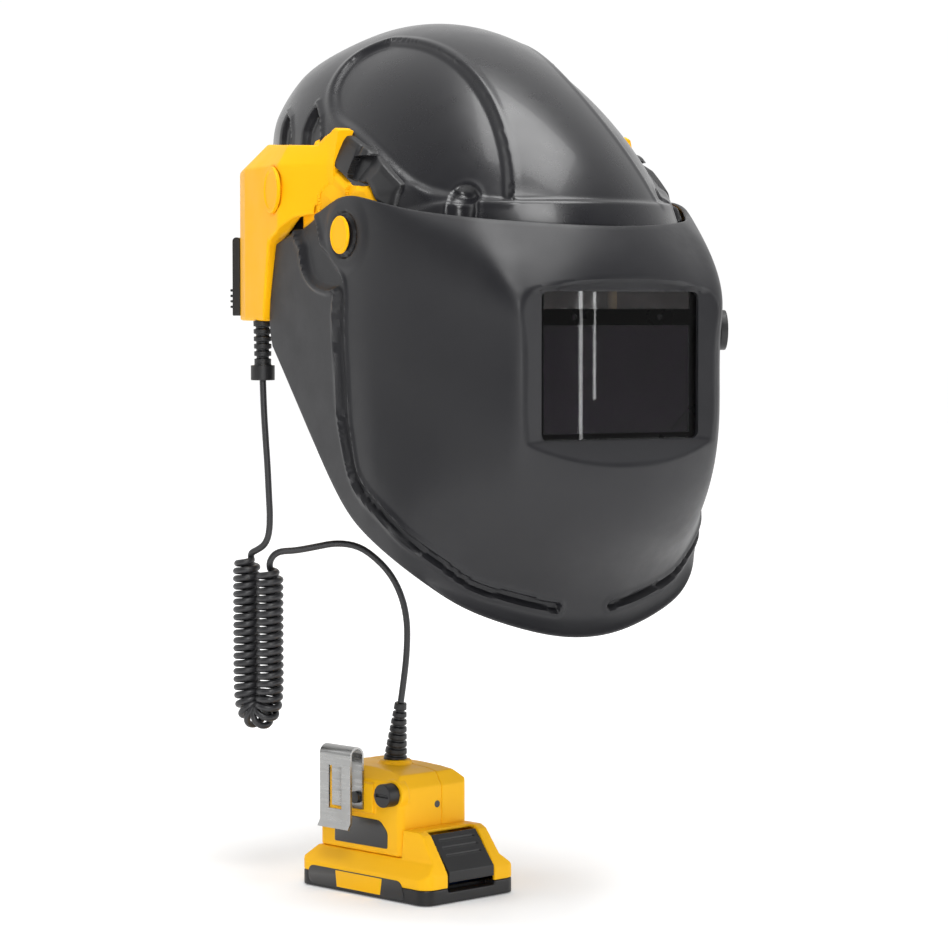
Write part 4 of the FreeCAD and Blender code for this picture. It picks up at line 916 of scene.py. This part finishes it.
def build_plates(dark, yellow):
    """Dark panels: one on the adapter, and a strip on the battery with a yellow panel in its middle."""
    label = rounded_outline([(-34.5, 27.6), (12.7, 27.9), (12.8, 38.0), (6.0, 44.4), (-34.3, 44.4)],
                            [1.2, 1.5, 2.5, 3.0, 1.2])
    plate = side_plate("label_panel", label, -27.5, 0.3, "helmet", dark)
    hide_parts("rating_label")
    strip = rounded_outline([(-47.3, 1.7), (38.8, 1.7), (35.0, 12.7), (-47.3, 12.7)], [5.3, 4.0, 4.0, 5.3])
    panel = rounded_outline([(-21.3, 2.3), (17.4, 2.3), (18.9, 12.1), (-22.5, 12.1)], [0.5, 0.5, 0.5, 0.5])
    plate = side_plate("strip_panel", strip, -37.5, 0.35, "battery", dark)
    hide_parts("battery_side_strip")
    side_plate("strip_yellow", panel, -37.84, 0.25, "battery", yellow)


def build_corner_tab(material):
    """Clear pull tab across the lower corner of the darkening glass."""
    points = [(46.5, -74), (47.5, -76.5), (38.5, -85.2), (36.5, -84.2)]
    vertices = [(x, y, z) for y in (-160.9, -160.4) for x, z in points]
    faces = [(0, 1, 2, 3), (7, 6, 5, 4), (0, 4, 5, 1), (1, 5, 6, 2), (2, 6, 7, 3), (3, 7, 4, 0)]
    paint(make_object("corner_tab", vertices, faces, "visor"), material)


# ---- Lead ----
HELMET_LEAD = [(-107.7, 64.0, -59.6), (-107.4, 63.6, -76), (-106.4, 63.2, -94), (-105.2, 63.0, -112),
               (-104.5, 62.8, -129), (-103.7, 63.0, -141), (-104.0, 63.5, -152.0), (-105.4, 66.2, -158.6),
               (-107.8, 71.0, -161.9), (-110.4, 75.8, -164.2), (-111.9, 78.5, -168.0)]
COIL_AXIS = [(-111.9, 78.5, -168.0), (-111.9, 78.5, -195.0), (-111.9, 78.5, -225.0), (-111.9, 78.5, -249.4),
             (-111.0, 76.6, -259.5), (-108.1, 70.5, -264.6), (-105.2, 64.4, -259.5), (-104.3, 62.5, -249.4),
             (-104.3, 62.5, -225.0), (-104.3, 62.5, -198.0), (-104.3, 62.5, -174.0)]
PACK_LEAD = [(-104.3, 62.5, -174.0), (-104.4, 62.5, -169.1), (-102.4, 61.3, -164.9), (-98.8, 59.2, -162.5),
             (-91.0, 54.6, -162.2), (-80.0, 48.2, -159.8), (-69.5, 42.2, -157.4), (-58.0, 35.7, -159.2),
             (-48.3, 30.5, -167.0), (-40.0, 26.2, -177.5), (-34.4, 23.5, -191.0), (-32.0, 22.2, -205.0),
             (-32.0, 22.2, -219.5), (-33.3, 22.6, -235.5), (-35.6, 23.9, -254.3)]
COIL_PITCH = 4.7
COIL_START_ANGLE = 0.6
POINTS_PER_TURN = 10


def nurbs_curve(name, points_mm, bevel):
    """Open NURBS curve of order 3 with the points as its poles."""
    curve = bpy.data.curves.new(name, "CURVE")
    curve.dimensions = "3D"
    spline = curve.splines.new("NURBS")
    spline.points.add(len(points_mm) - 1)
    for point, place in zip(spline.points, points_mm):
        point.co = (place[0] * MM, place[1] * MM, place[2] * MM, 1.0)
        point.radius = bevel * MM
    spline.order_u = 3
    spline.use_endpoint_u = True
    spline.resolution_u = 4
    if bevel:
        # The points' radius holds the thickness, since Blender's bounds grow by it.
        curve.bevel_depth = 1.0
        curve.bevel_resolution = 5
        curve.use_fill_caps = True
    obj = bpy.data.objects.new(name, curve)
    bpy.context.collection.objects.link(obj)
    return obj


def curve_line(obj):
    """Points along a curve with no bevel, in mm."""
    mesh = bpy.data.meshes.new_from_object(obj)
    line = np.array([v.co for v in mesh.vertices]) / MM
    bpy.data.meshes.remove(mesh)
    return line


def coil_points():
    """Turns of the curly lead round the coil's own U-shaped axis."""
    axis = nurbs_curve("coil_axis", COIL_AXIS, 0.0)
    axis.data.splines[0].resolution_u = 24
    bpy.context.view_layer.update()
    line = curve_line(axis)
    bpy.data.objects.remove(axis)
    lengths = np.concatenate([[0], np.cumsum(np.linalg.norm(np.diff(line, axis=0), axis=1))])
    turns = int(round(lengths[-1] / COIL_PITCH))
    count = turns * POINTS_PER_TURN
    along = np.linspace(0, lengths[-1], count + 1)
    centres = np.stack([np.interp(along, lengths, line[:, k]) for k in range(3)], 1)
    tangents = unit(np.gradient(centres, axis=0))
    plane = unit(np.cross(np.array(COIL_AXIS[0]) - np.array(COIL_AXIS[-1]), (0, 0, 1)))
    wire = COIL_R - LEAD_DIAMETER / 2
    corner = 1 / math.cos(math.pi / POINTS_PER_TURN)
    points = []
    for k in range(count + 1):
        side = np.cross(tangents[k], plane)
        angle = 2 * math.pi * k / POINTS_PER_TURN + COIL_START_ANGLE
        fade = min(1.0, (k + 1) / 8, (count - k + 1) / 8)
        radius = wire * (0.35 + 0.65 * fade) * (1 + (corner - 1) * 0.55)
        points.append(centres[k] + radius * (plane * math.cos(angle) + side * math.sin(angle)))
    return points


def build_lead(material):
    helix = [tuple(p) for p in coil_points()]
    points = HELMET_LEAD[:-1] + helix + PACK_LEAD[1:]
    lead = nurbs_curve("curly_lead", points, LEAD_DIAMETER / 2)
    bpy.context.view_layer.update()
    bare = nurbs_curve("lead_measure", points, 0.0)
    bpy.context.view_layer.update()
    line = curve_line(bare)
    bpy.data.objects.remove(bare)
    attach(lead, "helmet")
    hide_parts("lead_helmet", "lead_coil", "lead_pack")
    paint(lead, material)
    return lead


# ---- Camera, lights, floor ----
CAMERA_AZIMUTH = math.radians(30.0)
CAMERA_DISTANCE = 1.890
CAMERA_Z = -0.0187
FOCAL_PX = 3150.0
FRAME_PX = 948.0
HORIZON_OFFSET_PX = 162.0


def build_camera():
    forward = Vector((math.sin(CAMERA_AZIMUTH), math.cos(CAMERA_AZIMUTH), 0))
    right = Vector((math.cos(CAMERA_AZIMUTH), -math.sin(CAMERA_AZIMUTH), 0))
    data = bpy.data.cameras.new("camera")
    data.sensor_width = 36.0
    data.lens = 36.0 * FOCAL_PX / FRAME_PX
    camera = bpy.data.objects.new("camera", data)
    camera.location = forward * -CAMERA_DISTANCE + right * 0.0015 + Vector((0, 0, CAMERA_Z))
    look = forward + Vector((0, 0, -HORIZON_OFFSET_PX / FOCAL_PX))
    camera.rotation_euler = look.to_track_quat("-Z", "Y").to_euler()
    data.clip_start = 0.05
    bpy.context.collection.objects.link(camera)
    bpy.context.scene.camera = camera


def area_light(name, place, target, width, height, power):
    data = bpy.data.lights.new(name, "AREA")
    data.shape = "RECTANGLE"
    data.size, data.size_y = width, height
    data.energy = power
    light = bpy.data.objects.new(name, data)
    light.location = place
    light.rotation_euler = (Vector(target) - Vector(place)).to_track_quat("-Z", "Y").to_euler()
    bpy.context.collection.objects.link(light)


def build_studio():
    half, z = 6000.0, PACK_FLOOR_Z - 0.5
    corners = [(-half, -half, z), (half, -half, z), (half, half, z), (-half, half, z)]
    floor = make_object("floor", corners, [(0, 1, 2, 3)], None)
    paint(floor, floor_material())
    build_world()
    bpy.context.scene.view_settings.view_transform = "Standard"
    target = (0, -0.05, -0.05)
    area_light("key", (-0.55, -1.2, 1.6), target, 0.8, 0.8, 21)
    area_light("top", (0.15, -0.2, 1.7), target, 1.0, 1.0, 22)
    area_light("fill", (1.5, -1.1, 0.0), (0, 0, -0.3), 0.5, 1.2, 6)
    area_light("pack", (-0.75, -1.3, 0.25), (-0.03, 0.0, -0.33), 0.35, 0.35, 6)
    area_light("rear", (-1.4, 1.0, 0.7), target, 0.8, 1.2, 3)
    lens = (-0.02, -0.163, -0.05)
    area_light("strip", (0.61, -1.18, -0.072), lens, 0.003, 0.15, 0.006)
    area_light("strip_thin", (0.622, -1.175, -0.05), lens, 0.002, 0.10, 0.003)


def floor_material():
    """Pale paper that glows more towards its far edge: a painted glow standing in for the light on a cove."""
    look = Look("floor_white")
    put(look.shader, Roughness=0.7, Specular_IOR_Level=0.1, Emission_Color=(1, 1, 1, 1))
    look.color(look.noise(40.0), (0.90, 0.90, 0.90), (0.93, 0.93, 0.93))
    reach = look.node("VectorMath")
    reach.operation = "LENGTH"
    look.links.new(look.coordinates(), reach.inputs[0])
    # Painted light: emission strength grows with distance from the origin, so the floor glows though no lamp
    # lights it.
    look.span(reach.outputs["Value"], 0.05, 0.62, look.shader.inputs["Emission Strength"], 0.1, 1.6)
    return look.material


def build_world():
    """White behind the object, falling to grey on its front side, as in a studio cove."""
    world = bpy.data.worlds.new("studio")
    world.use_nodes = True
    nodes, links = world.node_tree.nodes, world.node_tree.links
    where = nodes.new("ShaderNodeTexCoord")
    dot = nodes.new("ShaderNodeVectorMath")
    dot.operation = "DOT_PRODUCT"
    dot.inputs[1].default_value = (math.sin(CAMERA_AZIMUTH), round(math.cos(CAMERA_AZIMUTH), 3), 0.0)
    links.new(where.outputs["Generated"], dot.inputs[0])
    span = nodes.new("ShaderNodeMapRange")
    put(span, From_Min=-0.5, From_Max=0.75, To_Min=0.15, To_Max=1.02)
    links.new(dot.outputs["Value"], span.inputs["Value"])
    background = nodes["Background"]
    put(background, Color=(1.0, 1.0, 1.0, 1))
    links.new(span.outputs["Result"], background.inputs["Strength"])
    bpy.context.scene.world = world


# ---- Build ----
def main():
    gloss = plastic("cap_gloss", (0.009, 0.009, 0.011), 0.29, 1400, 0.00002, 0.12, 0.10, 0.10, 0.42)
    matte = plastic("visor_matte", (0.009, 0.009, 0.011), 0.44, 1500, 0.00006, 0.25, 0.08, 0.0, 0.40)
    trim = plastic("trim_black", (0.011, 0.011, 0.012), 0.40, 1700, 0.00006, 0.25, 0.14, 0.0, 0.42)
    yellow = plastic("housing_yellow", (0.95, 0.46, 0.004), 0.46, 1500, 0.00003, 0.12, 0.02, 0.0, 0.09)
    pack_yellow = plastic("pack_yellow", (0.99, 0.52, 0.008), 0.46, 1300, 0.00005, 0.18, 0.02, 0.0, 0.16)
    rubber = plastic("lead_rubber", (0.020, 0.020, 0.022), 0.42, 1200, 0.00003, 0.15, 0.10)
    relief_rubber = plastic("relief_rubber", (0.008, 0.008, 0.009), 0.48, 1500, 0.00005, 0.2, 0.15)
    nylon = plastic("headgear_nylon", (0.02, 0.02, 0.023), 0.5, 1500, 0.00006, 0.25, 0.12)
    grey = plastic("wheel_grey", (0.26, 0.26, 0.27), 0.45, 1500, 0.00005, 0.2, 0.08)
    board = plastic("board_green", (0.02, 0.16, 0.06), 0.35, 900, 0.00008, 0.3, 0.2, 0.3)
    label = plastic("label_dark", (0.016, 0.016, 0.017), 0.35, 2000, 0.00001, 0.08, 0.08, 0.2)
    wrap = plastic("cell_wrap", (0.05, 0.12, 0.35), 0.25, 900, 0.00002, 0.1, 0.1, 0.4)
    cartridge = plastic("cartridge", (0.020, 0.027, 0.029), 0.30, 1800, 0.00002, 0.1, 0.1, 0.2)
    steel = metal("clip_steel", (0.36, 0.36, 0.355), 0.30, brushed=True)
    can = metal("motor_steel", (0.6, 0.6, 0.6), 0.3, brushed=True)
    black_screw = metal("screw_black", (0.07, 0.07, 0.07), 0.4)
    brass = metal("contact_brass", (0.80, 0.60, 0.27), 0.25)
    clear_lens = clear("clear_lens", (0.93, 0.95, 0.95), 0.012)
    dark_filter = plastic("dark_filter", (0.009, 0.004, 0.010), 0.12, 900, 0.00001, 0.02, 0.2, 0.0, 0.15)
    fuse_glass = clear("fuse_glass", (0.85, 0.9, 0.9))
    cells = striped_cells("solar_cells")
    strap = webbing("strap_web", (0.05, 0.05, 0.055))
    towelling = webbing("sweat_cloth", (0.06, 0.06, 0.07), 0.9)
    seal_cloth = webbing("seal_cloth", (0.04, 0.04, 0.045), 0.8)
    media = webbing("filter_media", (0.82, 0.82, 0.78), 0.7)

    for material, names in (
            (gloss, ["cap_shell"]),
            (matte, ["visor_shell"]),
            (trim, ["slot_cover_right", "slot_cover_left", "filter_door_right", "filter_door_left",
                    "pivot_hubs", "suspension_arms", "ratchet_housing", "ratchet_knob", "shade_knob",
                    "shade_potentiometer", "air_duct", "air_outlet", "blower_back_panel", "blower_volute",
                    "fuse_cap", "fuse_holder", "release_button", "battery_base", "battery_terminal_block"]),
            (yellow, ["blower_housing", "pivot_button_right", "pivot_button_left", "power_button"]),
            (pack_yellow, ["adapter_housing_clip_side", "adapter_housing_far_side", "battery_cover"]),
            (clear_lens, ["outer_cover_lens", "inner_cover_lens"]),
            (dark_filter, ["lcd_glass", "arc_sensors"]),
            (cells, ["solar_cells"]),
            (cartridge, ["darkening_cartridge", "lens_retainer"]),
            (nylon, ["headband"]),
            (strap, ["crown_straps"]),
            (towelling, ["sweatband"]),
            (seal_cloth, ["face_seal"]),
            (rubber, ["lead_helmet", "lead_coil", "lead_pack"]),
            (relief_rubber, ["helmet_strain_relief", "pack_strain_relief"]),
            (steel, ["belt_clip"]),
            (black_screw, ["clip_screw", "adapter_screw", "housing_screws"]),
            (label, ["rating_label", "battery_side_strip"]),
            (media, ["filter_right", "filter_left", "prefilters"]),
            (board, ["control_board", "adapter_board"]),
            (grey, ["impeller"]),
            (can, ["blower_motor"]),
            (brass, ["adapter_terminals"]),
            (fuse_glass, ["fuse"]),
            (wrap, ["battery_cells"])):
        paint_nodes(material, names)

    build_camera()
    build_studio()
    build_lead(rubber)
    build_cap(gloss)
    build_visor(matte)
    build_housing(yellow)
    for side in (-1, 1):
        build_arm(side, yellow, trim)
    build_sweatband(towelling)
    build_straps(strap)
    build_face_seal(seal_cloth)
    build_buttons(yellow)
    build_corner_tab(clear_lens)
    build_plates(label, pack_yellow)
    for node, body, slot, voxel, passes, material in (
            ("helmet_strain_relief", "helmet", "relief_rubber", 0.3, 4, relief_rubber),
            ("pack_strain_relief", "helmet", "relief_rubber", 0.3, 4, relief_rubber),
            ("shade_knob", "shade_knob", "trim_black", 0.35, 4, trim),
            ("ratchet_knob", "ratchet_knob", "trim_black", 0.5, 4, trim),
            ("ratchet_housing", "helmet", "trim_black", 0.5, 5, trim),
            ("fuse_cap", "fuse_cap", "trim_black", 0.25, 3, trim),
            ("release_button", "release_button", "trim_black", 0.35, 4, trim),
            ("power_button", "power_button", "housing_yellow", 0.3, 4, yellow),
            ("filter_door_right", "filter_door_right", "trim_black", 0.5, 4, trim),
            ("filter_door_left", "filter_door_left", "trim_black", 0.5, 4, trim),
            ("adapter_housing_clip_side", "helmet", "pack_yellow", 0.55, 10, pack_yellow),
            ("adapter_housing_far_side", "helmet", "pack_yellow", 0.55, 10, pack_yellow),
            ("battery_cover", "battery", "pack_yellow", 0.55, 12, pack_yellow),
            ("battery_base", "battery", "trim_black", 0.55, 6, trim)):
        paint(moulded(node, body, voxel, passes), material)


main()
bpy.context.view_layer.update()
